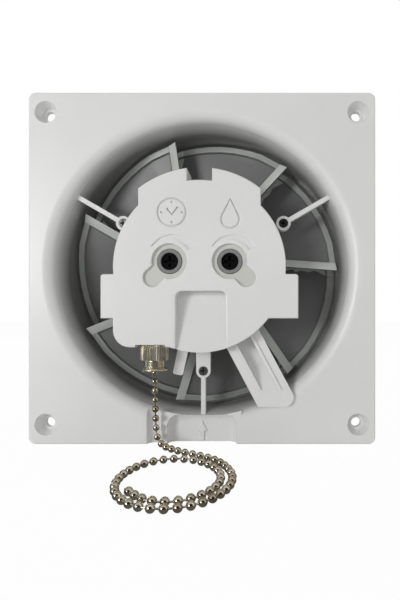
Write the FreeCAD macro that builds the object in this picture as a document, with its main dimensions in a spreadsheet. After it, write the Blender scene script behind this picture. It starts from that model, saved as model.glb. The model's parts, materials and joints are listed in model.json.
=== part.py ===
"""Wall exhaust fan with its front cover off, as an assembly of separate pieces.

Millimetres. The origin is on the fan axis in the wall plane, X to the right, Y into the wall and Z up.
The plate stands on its lower edge, and the pull chain lies in a coil on the same surface.
"""
import FreeCAD, Part
import Sketcher
import math
import os
import re
from FreeCAD import Placement, Rotation, Vector

SIZES = {
    # Front plate with its skirt, open at the back
    "plate_width": 150, "plate_height": 152, "plate_depth": 7, "plate_wall": 2.2, "skirt_wall": 2,
    "plate_corner": 3, "plate_edge": 0.8,
    # Screw recess in each corner of the plate
    "screw_spacing": 135, "screw_hole": 2.1, "recess_mouth": 4.75, "recess_foot": 3.2,
    "recess_floor": 2.2, "recess_wall": 1.6,
    # Bell mouth and duct
    "bell_round": 5.3, "bell_margin": 11, "bell_wall": 1.9, "duct_narrowing": 2.9, "duct_wall": 1.2,
    "duct_taper": 10.7, "duct_length": 62,
    # Pocket in the lower edge of the plate
    "pocket_half_width": 15, "pocket_height": 12.6, "pocket_depth": 5, "pocket_corner": 4.6,
    "pocket_cove": 4, "pocket_wall": 2,
    # Groove beside the pocket, where the chain hangs
    "groove_radius": 3.2, "groove_shift": 0.7,
    # Struts and their screw bosses
    "strut_width": 2, "strut_depth": 4, "upper_boss_offset": 41, "lower_boss_offset": 45,
    "boss_radius": 3.2, "lower_bar_width": 6.3, "lower_bar_length": 12, "motor_screw_head": 2,
    "motor_screw_shank": 1.25, "head_height": 1.4, "screw_slot_width": 0.6, "screw_slot_depth": 0.6,
    "screw_gap": 0.1, "screw_tip": 0.3,
    # Motor
    "bracket_sheet": 1.2, "bracket_radius": 30, "bracket_rim": 2, "ear_width": 5.6, "coil_room": 2.4,
    "core_height": 12, "core_ring": 5, "pole_width": 9, "shoe_depth": 3, "shoe_width": 16, "air_gap": 0.4,
    "rotor_margin": 0.5, "bobbin_wall": 1, "coil_build": 1.9, "coil_gap": 0.3, "coil_end_gap": 1.5,
    "shaft_radius": 2, "running_gap": 0.03, "bearing_radius": 5, "bearing_length": 6, "collar_wall": 2,
    "bolt_radius": 1.5, "bolt_head": 2.6, "bolt_head_height": 1.4, "bolt_gap": 0.1,
    # Impeller
    "hub_radius": 36, "hub_wall": 1.8, "hub_front": 4.4, "hub_rear": 26, "hub_boss": 6,
    "hub_boss_length": 7,
    "hub_round": 4, "tip_gap": 0.7, "blade_front": 4.6, "blade_rear": 21.6, "blade_wall": 1.9,
    "rim_width": 2.5, "rim_proud": 1.2, "rim_shoulder": 0.6, "bar_width": 3.5, "clip_radius": 4.5,
    "clip_sheet": 0.8, "shaft_end": 1,
    # Control box
    "box_front": 16.2, "box_rear": 2, "base_sheet": 1.8, "box_wall": 1.5, "box_radius": 35.7,
    "lid_edge": 0.4,
    "crown_rise": 5.2, "crown_half_width": 25.3, "crown_notch": 5.2, "ear_reach": 5.1, "ear_top": 3.2,
    "ear_bottom": 21.5, "ear_corner": 1.2, "lobe_bottom": 33.5, "lobe_corner": 7.1, "box_bottom": 34,
    "notch_left": 26.5, "notch_right": 14.2, "notch_top": 32.4,
    "ramp_left": 10, "ramp_right": 11, "ramp_top": 10.1, "ramp_deep": 7.6, "ramp_shallow": 1,
    "ramp_corner": 2.7, "rim_height": 2.2, "rim_gap": 0.2, "tab_width": 4.5, "tab_x": 8.4, "tab_z": 34,
    "tab_length": 12.6, "tab_root": 3, "tab_corner": 1, "base_screw_head": 2.6,
    "post_radius": 3.6, "post_x": 8, "post_low": 18, "post_high": 27,
    # Trimmers behind the two windows
    "trimmer_x": 12.5, "trimmer_z": 2.1, "window_radius": 7.2, "window_lobe": 3.9, "lobe_across": 6.9,
    "lobe_down": 6.7, "well_depth": 1.5, "well_wall": 1.2, "trimmer_ring": 5.1, "trimmer_gap": 0.2,
    "ring_sunk": 1, "dial_radius": 3.55, "dial_gap": 0.05, "dial_sunk": 2.2, "dial_length": 5,
    "slot_width": 1, "slot_length": 4.6, "slot_depth": 1.2,
    # Board and what stands on it
    "board_side_gap": 12.7, "board_low": 11, "board_top_gap": 13.7, "board_sheet": 1.6, "standoff": 1,
    "standoff_radius": 2.4, "standoff_inset": 3, "relay_width": 14, "relay_depth": 7, "relay_height": 9,
    "relay_z": 11.8, "capacitor_radius": 4, "capacitor_height": 7, "capacitor_x": 17.5, "capacitor_z": 16,
    "sensor_width": 8, "sensor_depth": 4.5, "sensor_height": 7, "sensor_x": 13, "sensor_z": 13,
    "terminal_side_gap": 12.5, "terminal_width": 10, "terminal_depth": 7, "terminal_foot_gap": 13.7,
    "terminal_height": 9, "terminal_screw": 1.6, "terminal_shank": 1, "terminal_proud": 0.6,
    "terminal_pitch": 4.6,
    # Pull switch, its bush and its nut
    "bush_x": 20, "bush_y": 9, "switch_width": 11, "switch_depth": 10.4, "switch_top": 13,
    "switch_bottom": 30.6, "switch_shoulder": 0.8, "piston_bore": 3.6, "piston_top": 16.5,
    "piston_gap": 0.3, "piston_head": 2, "stem_radius": 1.1, "stem_length": 7, "spring_outer": 3,
    "spring_inner": 2.3, "spring_gap": 0.2, "bush_bore": 2.2, "bush_thread": 4, "bush_gap": 0.3,
    "nut_radius": 6, "nut_height": 7.2, "nut_edge": 0.6, "knurl_depth": 0.35, "neck_radius": 4.2,
    "neck_length": 2.4, "rim_radius": 5.5, "flare_length": 1.3, "lip_height": 0.5, "mouth_radius": 4.4,
    # Cable channel from the box to the plate
    "channel_width": 15.8, "channel_foot_gap": 16.5, "channel_sheet": 1.8, "channel_rib": 1.2,
    "rib_offset": 3.9, "channel_rib_height": 0.9, "channel_pad_height": 7.5, "channel_gap": 0.3,
    "channel_root": 3, "channel_corner": 4, "trough_depth": 4.5, "trough_ramp": 9,
    # Ball chain
    "bead_radius": 1.5, "bead_pitch": 3.9,
    # One overrun for every cut
    "overrun": 1,
}

STRUT_ANGLES = (30, 150, 270)
CHANNEL_ANGLE = -62
TAB_ANGLE = -102
BLADE_COUNT = 7
BLADE_START_ANGLE = 3.2
BLADE_LEAN_ANGLE = 7.2
BLADE_SPAN_ANGLE = 56
BLADE_STEPS = 8
KNURL_COUNT = 40
POLE_ANGLES = (45, 135, 225, 315)
BOLT_ANGLES = (60, 120, 240, 300)
BLADE_CAMBER_SHARE = 0.12
BEAD_STATION_SHARES = (0.0, 0.16, 0.36, 0.64, 0.84)
BEAD_RADIUS_SHARES = (0.3, 0.36, 0.95, 0.95, 0.36)
BEAD_SIDES = 6
NEIGHBOUR_BEADS = 4
CORNER_RUN_SHARE = 0.45
FULL_ROUND_SHARE = 0.999
ALONG_COSINE = 0.99
SLOT_REACH_SHARE = 0.7
ROTOR_SHARE = 0.46
CHANNEL_X_SHARE = 0.4986
CHANNEL_Z_SHARE = 0.857

# Route of the chain from the plunger to the start of its coil. The last point is the coil's first one.
DROP_ROUTE = [
    (-20, -9, -25.5), (-20, -9, -69.4), (-16.6, -12.8, -74.5), (-11.6, -18.6, -74.5),
    (-5.2, -23.4, -74.5), (1.6, -27.6, -74.5), (7.6, -32, -74.5),
]
COIL_CENTRE = (-3.5, -53, -74.5)
COIL_SEMI_AXES = (18.9, 23.2)
COIL_START_ANGLE = -36
COIL_END_ANGLE = 510
COIL_STEP_ANGLE = 26
COIL_OUTER_SHARE = 1.03
COIL_INNER_SHARE = 0.82
COIL_STEP_IN_ANGLES = (225, 324)

# Sizes that follow from the plate, the motor bracket and the control box
THROAT = "(plate_width / 2 - bell_margin)"
THROAT_FRONT = "(bell_round - plate_depth)"
DUCT_BORE = "(%s - duct_narrowing)" % THROAT
TIP_RADIUS = "(%s - tip_gap)" % DUCT_BORE
ROTOR_RADIUS = "(bracket_radius * %g)" % ROTOR_SHARE
BOLT_CIRCLE = "(bracket_radius - core_ring / 2)"
CROWN_RADIUS = "(box_radius + crown_rise)"
EAR_HALF_WIDTH = "(box_radius + ear_reach)"
BOARD_HALF_WIDTH = "(box_radius - board_side_gap)"
BOARD_TOP = "(box_radius - board_top_gap)"
CHANNEL_X = "(box_radius * %g)" % CHANNEL_X_SHARE
CHANNEL_Z = "(box_radius * %g)" % CHANNEL_Z_SHARE
CHANNEL_LOW = "(plate_height / 2 - channel_foot_gap)"
PAD_TOP = "(%s - channel_pad_height)" % CHANNEL_LOW

doc = FreeCAD.newDocument("exhaust_fan")
sheet = doc.addObject("Spreadsheet::Sheet", "dims")
pieces = []


def fill_sheet():
    """Write every driving dimension into the sheet, with its name as alias."""
    for row, (name, value) in enumerate(SIZES.items(), start=1):
        sheet.set("A%d" % row, name)
        sheet.set("B%d" % row, str(value))
        sheet.setAlias("B%d" % row, name)
    doc.recompute()


def cell(formula):
    """Point each dimension name in a formula at its cell."""
    def to_cell(word):
        return "dims." + word.group() if word.group() in SIZES else word.group()
    return re.sub(r"[a-z]\w*", to_cell, str(formula))


def mm(formula):
    """Value of a formula in dimension names."""
    return float(sheet.evalExpression(cell(formula)))


def bind(obj, **formulas):
    """Bind properties of an object to formulas in dimension names."""
    for name, formula in formulas.items():
        obj.setExpression(name, cell(formula))
    return obj


def stand(obj, x, y, z):
    """Bind the place of an object."""
    obj.setExpression("Placement.Base.x", cell(x))
    obj.setExpression("Placement.Base.y", cell(y))
    obj.setExpression("Placement.Base.z", cell(z))
    return obj


def block(name, x, y, z):
    """Box between low and high formulas along each axis."""
    box = doc.addObject("Part::Box", name)
    lengths = ["(%s) - (%s)" % (high, low) for low, high in (x, y, z)]
    bind(box, Length=lengths[0], Width=lengths[1], Height=lengths[2])
    return stand(box, x[0], y[0], z[0])


def rod(name, radius, y, x=0, z=0):
    """Cylinder along the fan axis."""
    cylinder = doc.addObject("Part::Cylinder", name)
    cylinder.Placement = Placement(Vector(), Rotation(Vector(1, 0, 0), -90))
    bind(cylinder, Radius=radius, Height="(%s) - (%s)" % (y[1], y[0]))
    return stand(cylinder, x, y[0], z)


def post(name, radius, z, x, y):
    """Cylinder along the vertical."""
    cylinder = doc.addObject("Part::Cylinder", name)
    bind(cylinder, Radius=radius, Height="(%s) - (%s)" % (z[1], z[0]))
    return stand(cylinder, x, y, z[0])


def cone(name, front_radius, rear_radius, y, x, z):
    """Cone along the fan axis."""
    shape = doc.addObject("Part::Cone", name)
    shape.Placement = Placement(Vector(), Rotation(Vector(1, 0, 0), -90))
    bind(shape, Radius1=front_radius, Radius2=rear_radius, Height="(%s) - (%s)" % (y[1], y[0]))
    return stand(shape, x, y[0], z)


def fuse(name, *parts):
    """Join overlapping objects into one solid."""
    joined = doc.addObject("Part::MultiFuse", name)
    joined.Shapes = list(parts)
    joined.Refine = True
    return joined


def cut(name, base, *tools):
    """Cut one or more objects out of another."""
    result = doc.addObject("Part::Cut", name)
    result.Base = base
    result.Tool = tools[0] if len(tools) == 1 else fuse(name + "_tools", *tools)
    result.Refine = True
    return result


def common(name, first, second):
    """Keep what two objects share."""
    result = doc.addObject("Part::Common", name)
    result.Base = first
    result.Tool = second
    return result


def group(name, *parts):
    """Several separate solids that make one piece."""
    result = doc.addObject("Part::Compound", name)
    result.Links = list(parts)
    return result


def dress_edges(kind, name, base, formula, wanted):
    """Fillet or chamfer the edges of an object that pass a test."""
    doc.recompute()
    dressed = doc.addObject(kind, name)
    dressed.Base = base
    size = mm(formula)
    dressed.Edges = [(i + 1, size, size) for i, edge in enumerate(base.Shape.Edges) if wanted(edge)]
    doc.recompute()
    return dressed


def fillet_edges(name, base, radius, wanted):
    """Round the edges of an object that pass a test."""
    return dress_edges("Part::Fillet", name, base, radius, wanted)


def chamfer_edges(name, base, size, wanted):
    """Bevel the edges of an object that pass a test."""
    return dress_edges("Part::Chamfer", name, base, size, wanted)


def is_along_axis(edge):
    """True for a straight edge that runs parallel to the fan axis."""
    return isinstance(edge.Curve, Part.Line) and abs(edge.tangentAt(edge.FirstParameter).y) > ALONG_COSINE


def turned_copy(name, source, angle):
    """Copy of an object, turned about the fan axis so that X goes towards Z by the angle."""
    copy = doc.addObject("Part::Feature", name)
    doc.recompute()
    shape = source.Shape.copy()
    shape.rotate(Vector(), Vector(0, 1, 0), -angle)
    copy.Shape = shape
    return copy


def piece(label, obj):
    """Keep an object as one of the assembly's pieces."""
    obj.Label = label
    pieces.append(obj)
    return obj


def origin_plane(body, role):
    """One of a body's own origin planes."""
    return [plane for plane in body.Origin.OriginFeatures if plane.Role == role][0]


def turned(name, role, corners):
    """Body of revolution about the vertical sketch axis, its corners as radius and height formulas."""
    body = doc.addObject("PartDesign::Body", name)
    sketch = body.newObject("Sketcher::SketchObject", name + "_profile")
    sketch.AttachmentSupport = (origin_plane(body, role), [""])
    sketch.MapMode = "FlatFace"
    points = [Vector(mm(a), mm(b), 0) for a, b in corners]
    for start, end in zip(points, points[1:] + points[:1]):
        sketch.addGeometry(Part.LineSegment(start, end), False)
    for line in range(len(points)):
        sketch.addConstraint(Sketcher.Constraint("Coincident", line - 1 if line else len(points) - 1, 2,
                                                 line, 1))
    for line, (across, along) in enumerate(corners):
        for kind, formula in (("DistanceX", across), ("DistanceY", along)):
            index = sketch.addConstraint(Sketcher.Constraint(kind, -1, 1, line, 1, mm(formula)))
            sketch.setExpression("Constraints[%d]" % index, cell(formula))
    revolution = body.newObject("PartDesign::Revolution", name + "_turn")
    revolution.Profile = sketch
    revolution.ReferenceAxis = (sketch, ["V_Axis"])
    revolution.Angle = 360
    doc.recompute()
    return body


def round_edges(body, name, radius, wanted):
    """Fillet the edges of a body that pass a test."""
    base = body.Tip
    names = ["Edge%d" % (i + 1) for i, edge in enumerate(base.Shape.Edges) if wanted(edge)]
    fillet = body.newObject("PartDesign::Fillet", name)
    fillet.Base = (base, names)
    bind(fillet, Radius=radius)
    doc.recompute()
    return body


def is_ring(edge, radius, y):
    """True for a full circle of a radius about the fan axis at a depth."""
    round_edge = isinstance(edge.Curve, Part.Circle)
    return round_edge and abs(edge.Curve.Radius - radius) < 1e-6 and abs(edge.Curve.Center.y - y) < 1e-6


def polar(reach, angle):
    """Formulas of the place at a reach from the fan axis."""
    turn = math.radians(angle)
    return "%.6f * (%s)" % (math.cos(turn), reach), "%.6f * (%s)" % (math.sin(turn), reach)


def make_plate():
    """Square plate with rounded corners and a skirt behind it."""
    half, tall = "plate_width / 2", "plate_height / 2"
    slab = block("plate_slab", ("-" + half, half), ("-plate_depth", "0"), ("-" + tall, tall))
    rounded = fillet_edges("plate_rounded", slab, "plate_corner", is_along_axis)
    rim_depth = mm("plate_edge - plate_depth")
    softened = fillet_edges("plate_softened", rounded, "plate_edge",
                            lambda edge: edge.BoundBox.YMax < rim_depth)
    inner, upper = "plate_width / 2 - skirt_wall", "plate_height / 2 - skirt_wall"
    hollow = block("plate_hollow", ("-(%s)" % inner, inner), ("plate_wall - plate_depth", "overrun"),
                   ("-(%s)" % upper, upper))
    mouth = rod("plate_mouth", THROAT + " + bell_round", ("-plate_depth - overrun", "0"))
    return cut("plate_shell", softened, hollow, mouth)


def make_bell():
    """Bell mouth that narrows into the duct, turned about the fan axis."""
    rim, taper_end = THROAT + " + bell_round + bell_wall", THROAT_FRONT + " + duct_taper"
    corners = [
        (THROAT, "-plate_depth"), (rim, "-plate_depth"), (rim, "plate_wall - plate_depth"),
        (THROAT + " + bell_wall", THROAT_FRONT), (DUCT_BORE + " + duct_wall", taper_end),
        (DUCT_BORE + " + duct_wall", "duct_length"), (DUCT_BORE, "duct_length"),
        (DUCT_BORE, taper_end), (THROAT, THROAT_FRONT),
    ]
    body = turned("bell_and_duct", "XY_Plane", corners)

    def is_lip(edge):
        return is_ring(edge, mm(THROAT), mm("-plate_depth"))

    return round_edges(body, "bell_lip", "bell_round * %g" % FULL_ROUND_SHARE, is_lip)


def make_corner_recesses():
    """Boss and stepped recess for the wall screw in each corner: added solids and cut solids."""
    bosses, cuts = [], []
    for i, (side, level) in enumerate(((-1, -1), (1, -1), (1, 1), (-1, 1))):
        x, z = "%d * screw_spacing / 2" % side, "%d * screw_spacing / 2" % level
        mark = "_%d" % i
        floor = "-recess_floor"
        bosses.append(rod("recess_boss" + mark, "recess_mouth + recess_wall",
                          ("-plate_depth + plate_wall / 2", "0"), x, z))
        cuts.append(cone("recess_cone" + mark, "recess_mouth", "recess_foot", ("-plate_depth", floor), x,
                         z))
        cuts.append(rod("recess_hole" + mark, "screw_hole", ("-plate_depth", "overrun"), x, z))
    return bosses, cuts


def make_pocket():
    """Pocket in the lower edge of the plate: the block round it and the coved space in it."""
    low = "-plate_height / 2"
    outer, top = "pocket_half_width + pocket_wall", low + " + pocket_height"
    shell = block("pocket_shell", ("-(%s)" % outer, outer), ("-plate_depth + plate_wall / 2", "0"),
                  (low, top + " + pocket_wall"))
    space = block("pocket_block", ("-pocket_half_width", "pocket_half_width"),
                  ("-plate_depth - overrun", "pocket_depth - plate_depth"), (low + " - overrun", top))
    corner_level = mm(top + " - overrun")
    cornered = fillet_edges("pocket_cornered", space, "pocket_corner",
                            lambda edge: is_along_axis(edge) and edge.BoundBox.ZMin > corner_level)
    floor_level = mm("pocket_depth - plate_depth - overrun / 2")
    foot_level = mm(low)
    coved = fillet_edges("pocket_coved", cornered, "pocket_cove",
                         lambda edge: edge.BoundBox.YMin > floor_level and edge.BoundBox.ZMax > foot_level)
    airway = rod("pocket_airway", THROAT, ("-plate_depth - overrun", "overrun"))
    return cut("pocket_wall_block", shell, airway), coved


def make_chain_groove():
    """Upright groove for the chain beside the pocket: the block round it and the space in it."""
    low, middle = "-plate_height / 2", "(-bush_x - groove_shift)"
    half = "(groove_radius + pocket_wall)"
    shell = block("groove_shell", ("%s - %s" % (middle, half), "%s + %s" % (middle, half)),
                  ("-plate_depth + plate_wall / 2", "0"), (low, low + " + pocket_height"))
    space = post("groove_space", "groove_radius", (low + " - overrun", "bell_round - " + THROAT),
                 middle, "-plate_depth")
    airway = rod("groove_airway", THROAT, ("-plate_depth - overrun", "overrun"))
    return cut("groove_wall_block", shell, airway), space


def boss_offset(angle):
    """Distance of a strut's boss from the fan axis."""
    return "lower_boss_offset" if angle == STRUT_ANGLES[-1] else "upper_boss_offset"


def make_struts():
    """Three struts from the duct wall to the motor screws: added solids and cut solids."""
    rear = THROAT_FRONT + " + strut_depth"
    depths = (THROAT_FRONT, rear)
    bars, holes = [], []
    for i, angle in enumerate(STRUT_ANGLES):
        mark = "_%d" % i
        offset = boss_offset(angle)
        rib = block("strut_rib" + mark, (offset, THROAT + " + bell_wall / 2"), depths,
                    ("-strut_width / 2", "strut_width / 2"))
        bars.append(turned_copy("strut" + mark, rib, angle))
        x, z = polar(offset, angle)
        bars.append(rod("strut_boss" + mark, "boss_radius", depths, x, z))
        holes.append(rod("boss_hole" + mark, "motor_screw_shank + screw_gap",
                         (THROAT_FRONT + " - overrun", rear + " + overrun"), x, z))
        holes.append(rod("boss_seat" + mark, "motor_screw_head + screw_gap",
                         (THROAT_FRONT + " - overrun", THROAT_FRONT + " + head_height"), x, z))
    tongue = block("lower_bar", ("lower_boss_offset - lower_bar_length", "lower_boss_offset"), depths,
                   ("-lower_bar_width / 2", "lower_bar_width / 2"))
    bars.append(turned_copy("lower_tongue", tongue, STRUT_ANGLES[-1]))
    return bars, holes


def make_housing():
    """Plate, bell mouth, duct and struts as one moulding."""
    bosses, recesses = make_corner_recesses()
    pocket_shell, pocket = make_pocket()
    groove_shell, groove = make_chain_groove()
    bars, holes = make_struts()
    walls = fuse("housing_walls", make_plate(), make_bell(), pocket_shell, groove_shell, *bosses, *bars)
    return piece("housing", cut("housing", walls, pocket, groove, *recesses, *holes))


def screw(name, head, shank, seat, tip, head_height, x, z):
    """Pan-head screw along the fan axis, with its head in front of the seat and a cross slot in it."""
    top = "(%s) - (%s)" % (seat, head_height)
    body = fuse(name + "_body", rod(name + "_head", head, (top, seat), x, z),
                rod(name + "_shank", shank, (top, tip), x, z))
    reach, half = "(%s) * %g" % (head, SLOT_REACH_SHARE), "screw_slot_width / 2"
    depths = (top + " - overrun", top + " + screw_slot_depth")
    across = block(name + "_slot_a", ("%s - %s" % (x, reach), "%s + %s" % (x, reach)), depths,
                   ("%s - %s" % (z, half), "%s + %s" % (z, half)))
    along = block(name + "_slot_b", ("%s - %s" % (x, half), "%s + %s" % (x, half)), depths,
                  ("%s - %s" % (z, reach), "%s + %s" % (z, reach)))
    return cut(name, body, across, along)


def make_motor_screws():
    """Three screws through the strut bosses into the ears of the motor bracket."""
    seat = THROAT_FRONT + " + head_height"
    tip = THROAT_FRONT + " + strut_depth + bracket_sheet + screw_tip"
    screws = []
    for i, angle in enumerate(STRUT_ANGLES):
        x, z = polar(boss_offset(angle), angle)
        screws.append(screw("motor_screw_%d" % i, "motor_screw_head", "motor_screw_shank", seat, tip,
                            "head_height", x, z))
    piece("motor_screws", group("motor_screws", *screws))


BRACKET_FRONT = THROAT_FRONT + " + strut_depth"
CORE_FRONT = BRACKET_FRONT + " + bracket_sheet + coil_room"
CORE_REAR = CORE_FRONT + " + core_height"
BRACKET_REAR = CORE_REAR + " + coil_room"


def make_front_bracket():
    """Sheet bracket with three ears, a rim against the core and a collar round the bearing."""
    sheet_depths = (BRACKET_FRONT, BRACKET_FRONT + " + bracket_sheet")
    solids = [rod("bracket_disc", "bracket_radius", sheet_depths)]
    holes = [rod("bracket_bore", "bearing_radius", ("-box_rear", CORE_FRONT))]
    for i, angle in enumerate(STRUT_ANGLES):
        mark = "_%d" % i
        reach = boss_offset(angle)
        ear = block("ear_bar" + mark, ("bracket_radius - ear_width", reach), sheet_depths,
                    ("-ear_width / 2", "ear_width / 2"))
        solids.append(turned_copy("ear" + mark, ear, angle))
        x, z = polar(reach, angle)
        solids.append(rod("ear_end" + mark, "ear_width / 2", sheet_depths, x, z))
        holes.append(rod("ear_hole" + mark, "motor_screw_shank + screw_gap",
                         (BRACKET_FRONT + " - overrun", CORE_FRONT), x, z))
    for i, (x, z) in enumerate(base_screw_places()):
        holes.append(rod("base_screw_hole_%d" % i, "motor_screw_shank + screw_gap",
                         (BRACKET_FRONT + " - overrun", CORE_FRONT), x, z))
    rim = cut("front_rim", rod("front_rim_outer", "bracket_radius", sheet_depths[:1] + (CORE_FRONT,)),
              rod("front_rim_inner", "bracket_radius - bracket_rim",
                  (BRACKET_FRONT + " - overrun", CORE_FRONT + " + overrun")))
    collar = rod("front_collar", "bearing_radius + collar_wall", (BEARING_FRONT, sheet_depths[1]))
    holes += [rod("front_bolt_hole_%d" % i, "bolt_radius + bolt_gap", ("-box_rear", CORE_REAR),
                  *polar(BOLT_CIRCLE, angle))
              for i, angle in enumerate(BOLT_ANGLES)]
    piece("motor_bracket_front",
          cut("motor_bracket_front", fuse("front_bracket_solid", *solids, rim, collar), *holes))


BEARING_FRONT = BRACKET_FRONT + " + bracket_sheet + collar_wall / 2 - bearing_length"


def make_rear_bracket():
    """Rear bracket: a disc with a rim against the core and a collar round the bearing."""
    disc = rod("rear_disc", "bracket_radius", (CORE_REAR, BRACKET_REAR + " + bracket_sheet"))
    room = rod("rear_room", "bracket_radius - bracket_rim", (CORE_REAR + " - overrun", BRACKET_REAR))
    collar_rear = BRACKET_REAR + " + bracket_sheet + collar_wall / 2"
    collar = rod("rear_collar", "bearing_radius + collar_wall",
                 (BRACKET_REAR + " - collar_wall / 2", collar_rear))
    bore = rod("rear_bore", "bearing_radius", (CORE_REAR, collar_rear + " + overrun"))
    holes = [rod("rear_bolt_hole_%d" % i, "bolt_radius + bolt_gap",
                 (CORE_REAR + " - overrun", BRACKET_REAR + " + bracket_sheet + overrun"),
                 *polar(BOLT_CIRCLE, angle)) for i, angle in enumerate(BOLT_ANGLES)]
    solid = fuse("rear_bracket_solid", cut("rear_cup", disc, room), collar)
    piece("motor_bracket_rear", cut("motor_bracket_rear", solid, bore, *holes))


def make_core():
    """Laminated ring with four poles whose shoes surround the rotor."""
    depths = (CORE_FRONT, CORE_REAR)
    ring = cut("core_ring_cut", rod("core_outer", "bracket_radius", depths),
               rod("core_inner", "bracket_radius - core_ring",
                   (CORE_FRONT + " - overrun", CORE_REAR + " + overrun")))
    shoe_inner = ROTOR_RADIUS + " + air_gap"
    pole = block("pole_bar", (shoe_inner, "bracket_radius - core_ring / 2"), depths,
                 ("-pole_width / 2", "pole_width / 2"))
    shoe = block("shoe_bar", (shoe_inner, shoe_inner + " + shoe_depth"), depths,
                 ("-shoe_width / 2", "shoe_width / 2"))
    limb = fuse("core_limb", pole, shoe)
    limbs = [turned_copy("core_limb_%d" % angle, limb, angle) for angle in POLE_ANGLES]
    bore = rod("core_bore", shoe_inner, (CORE_FRONT + " - overrun", CORE_REAR + " + overrun"))
    holes = [rod("core_bolt_hole_%d" % i, "bolt_radius + bolt_gap",
                 (CORE_FRONT + " - overrun", CORE_REAR + " + overrun"),
                 *polar(BOLT_CIRCLE, angle)) for i, angle in enumerate(BOLT_ANGLES)]
    piece("stator_core", cut("stator_core", fuse("core_solid", ring, *limbs), bore, *holes))


def make_coils():
    """Bobbin and coil round each pole of the core."""
    inner, outer = ROTOR_RADIUS + " + air_gap + shoe_depth", "bracket_radius - core_ring"
    wall, build = "bobbin_wall", "(coil_room - bobbin_wall - coil_gap)"
    half = "pole_width / 2"

    def sleeve(name, low, high, inside, thick_across, thick_along):
        shell = block(name + "_shell", (low, high),
                      (CORE_FRONT + " - (%s + %s)" % (inside, thick_along),
                       CORE_REAR + " + %s + %s" % (inside, thick_along)),
                      ("-(%s + %s + %s)" % (half, inside, thick_across),
                       "%s + %s + %s" % (half, inside, thick_across)))
        space = block(name + "_space", (low + " - overrun", high + " + overrun"),
                      (CORE_FRONT + " - (%s)" % inside, CORE_REAR + " + %s" % inside),
                      ("-(%s + %s)" % (half, inside), "%s + %s" % (half, inside)))
        return cut(name, shell, space)

    bobbin = sleeve("bobbin", inner, outer + " - coil_end_gap", "0", wall, wall)
    coil = sleeve("coil", inner + " + bobbin_wall", outer + " - coil_end_gap - bobbin_wall", wall,
                  "coil_build", build)
    bobbins = [turned_copy("bobbin_%d" % angle, bobbin, angle) for angle in POLE_ANGLES]
    coils = [turned_copy("coil_%d" % angle, coil, angle) for angle in POLE_ANGLES]
    piece("pole_bobbins", group("pole_bobbins", *bobbins))
    piece("pole_coils", group("pole_coils", *coils))


def make_rotor_and_shaft():
    """Rotor, shaft, the two sleeve bearings and the bolts that hold the motor together."""
    bore = rod("rotor_bore", "shaft_radius", (CORE_FRONT, CORE_REAR))
    drum = rod("rotor_drum", ROTOR_RADIUS,
               (CORE_FRONT + " + rotor_margin", CORE_REAR + " - rotor_margin"))
    piece("rotor", cut("rotor", drum, bore))
    rear = "hub_rear + hub_boss_length + clip_sheet + shaft_end"
    piece("motor_shaft", rod("motor_shaft", "shaft_radius", (BEARING_FRONT + " + shaft_end / 2", rear)))
    spans = {
        "bearing_front": (BEARING_FRONT, BEARING_FRONT + " + bearing_length"),
        "bearing_rear": (BRACKET_REAR + " - collar_wall / 2",
                         BRACKET_REAR + " + bracket_sheet + collar_wall / 2"),
    }
    for label, (low, high) in spans.items():
        sleeve = rod(label + "_sleeve", "bearing_radius", (low, high))
        hole = rod(label + "_hole", "shaft_radius + running_gap",
                   (low + " - overrun", high + " + overrun"))
        piece(label, cut(label, sleeve, hole))
    bolts = []
    for i, angle in enumerate(BOLT_ANGLES):
        x, z = polar(BOLT_CIRCLE, angle)
        front, rear = BRACKET_FRONT + " - bolt_head_height", BRACKET_REAR + " + bracket_sheet"
        bolts.append(fuse("core_bolt_%d" % i,
                          rod("bolt_head_%d" % i, "bolt_head", (front, BRACKET_FRONT), x, z),
                          rod("bolt_shank_%d" % i, "bolt_radius", (front, rear), x, z)))
    piece("core_bolts", group("core_bolts", *bolts))


def blade_section(angle, heading, front, bar):
    """Closed wire of a blade from its root at an angle out along a heading, raised all along for a bar."""
    root, tip = mm("hub_radius - hub_wall / 2"), mm(TIP_RADIUS)
    proud, rear = front - mm("rim_proud"), front + mm("blade_wall")
    inner = proud if bar else front
    rim, foot = mm(TIP_RADIUS + " - rim_width"), mm(TIP_RADIUS + " - rim_width - rim_shoulder")
    corners = [(root, inner), (foot, inner), (rim, proud), (tip, proud), (tip, rear), (root, rear)]
    turn, lean = math.radians(angle), math.radians(heading)
    start = Vector(root * math.cos(turn), 0, root * math.sin(turn))
    outwards = Vector(math.cos(lean), 0, math.sin(lean))
    points = [start + outwards * (reach - root) + Vector(0, y, 0) for reach, y in corners]
    return Part.makePolygon(points + points[:1])


def blade_shape():
    """One blade: a cambered ruled loft that sinks as it turns, with a straight bar at its leading edge."""
    first = mm("blade_front + rim_proud")
    fall = mm("blade_rear - blade_wall") - first
    root = mm("hub_radius - hub_wall / 2")
    bar_share = math.degrees(mm("bar_width") / root) / BLADE_SPAN_ANGLE
    foot_share = bar_share + math.degrees(mm("rim_shoulder") / root) / BLADE_SPAN_ANGLE
    plain_shares = [foot_share + (1 - foot_share) * step / BLADE_STEPS for step in range(BLADE_STEPS + 1)]
    wires = []
    for share in [0, bar_share] + plain_shares:
        sunk = share + BLADE_CAMBER_SHARE * math.sin(math.pi * share)
        angle = BLADE_START_ANGLE + share * BLADE_SPAN_ANGLE
        heading = (angle if share > foot_share else BLADE_START_ANGLE) - BLADE_LEAN_ANGLE
        wires.append(blade_section(angle, heading, first + fall * sunk, share <= bar_share))
    return Part.makeLoft(wires, True, True)


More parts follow.
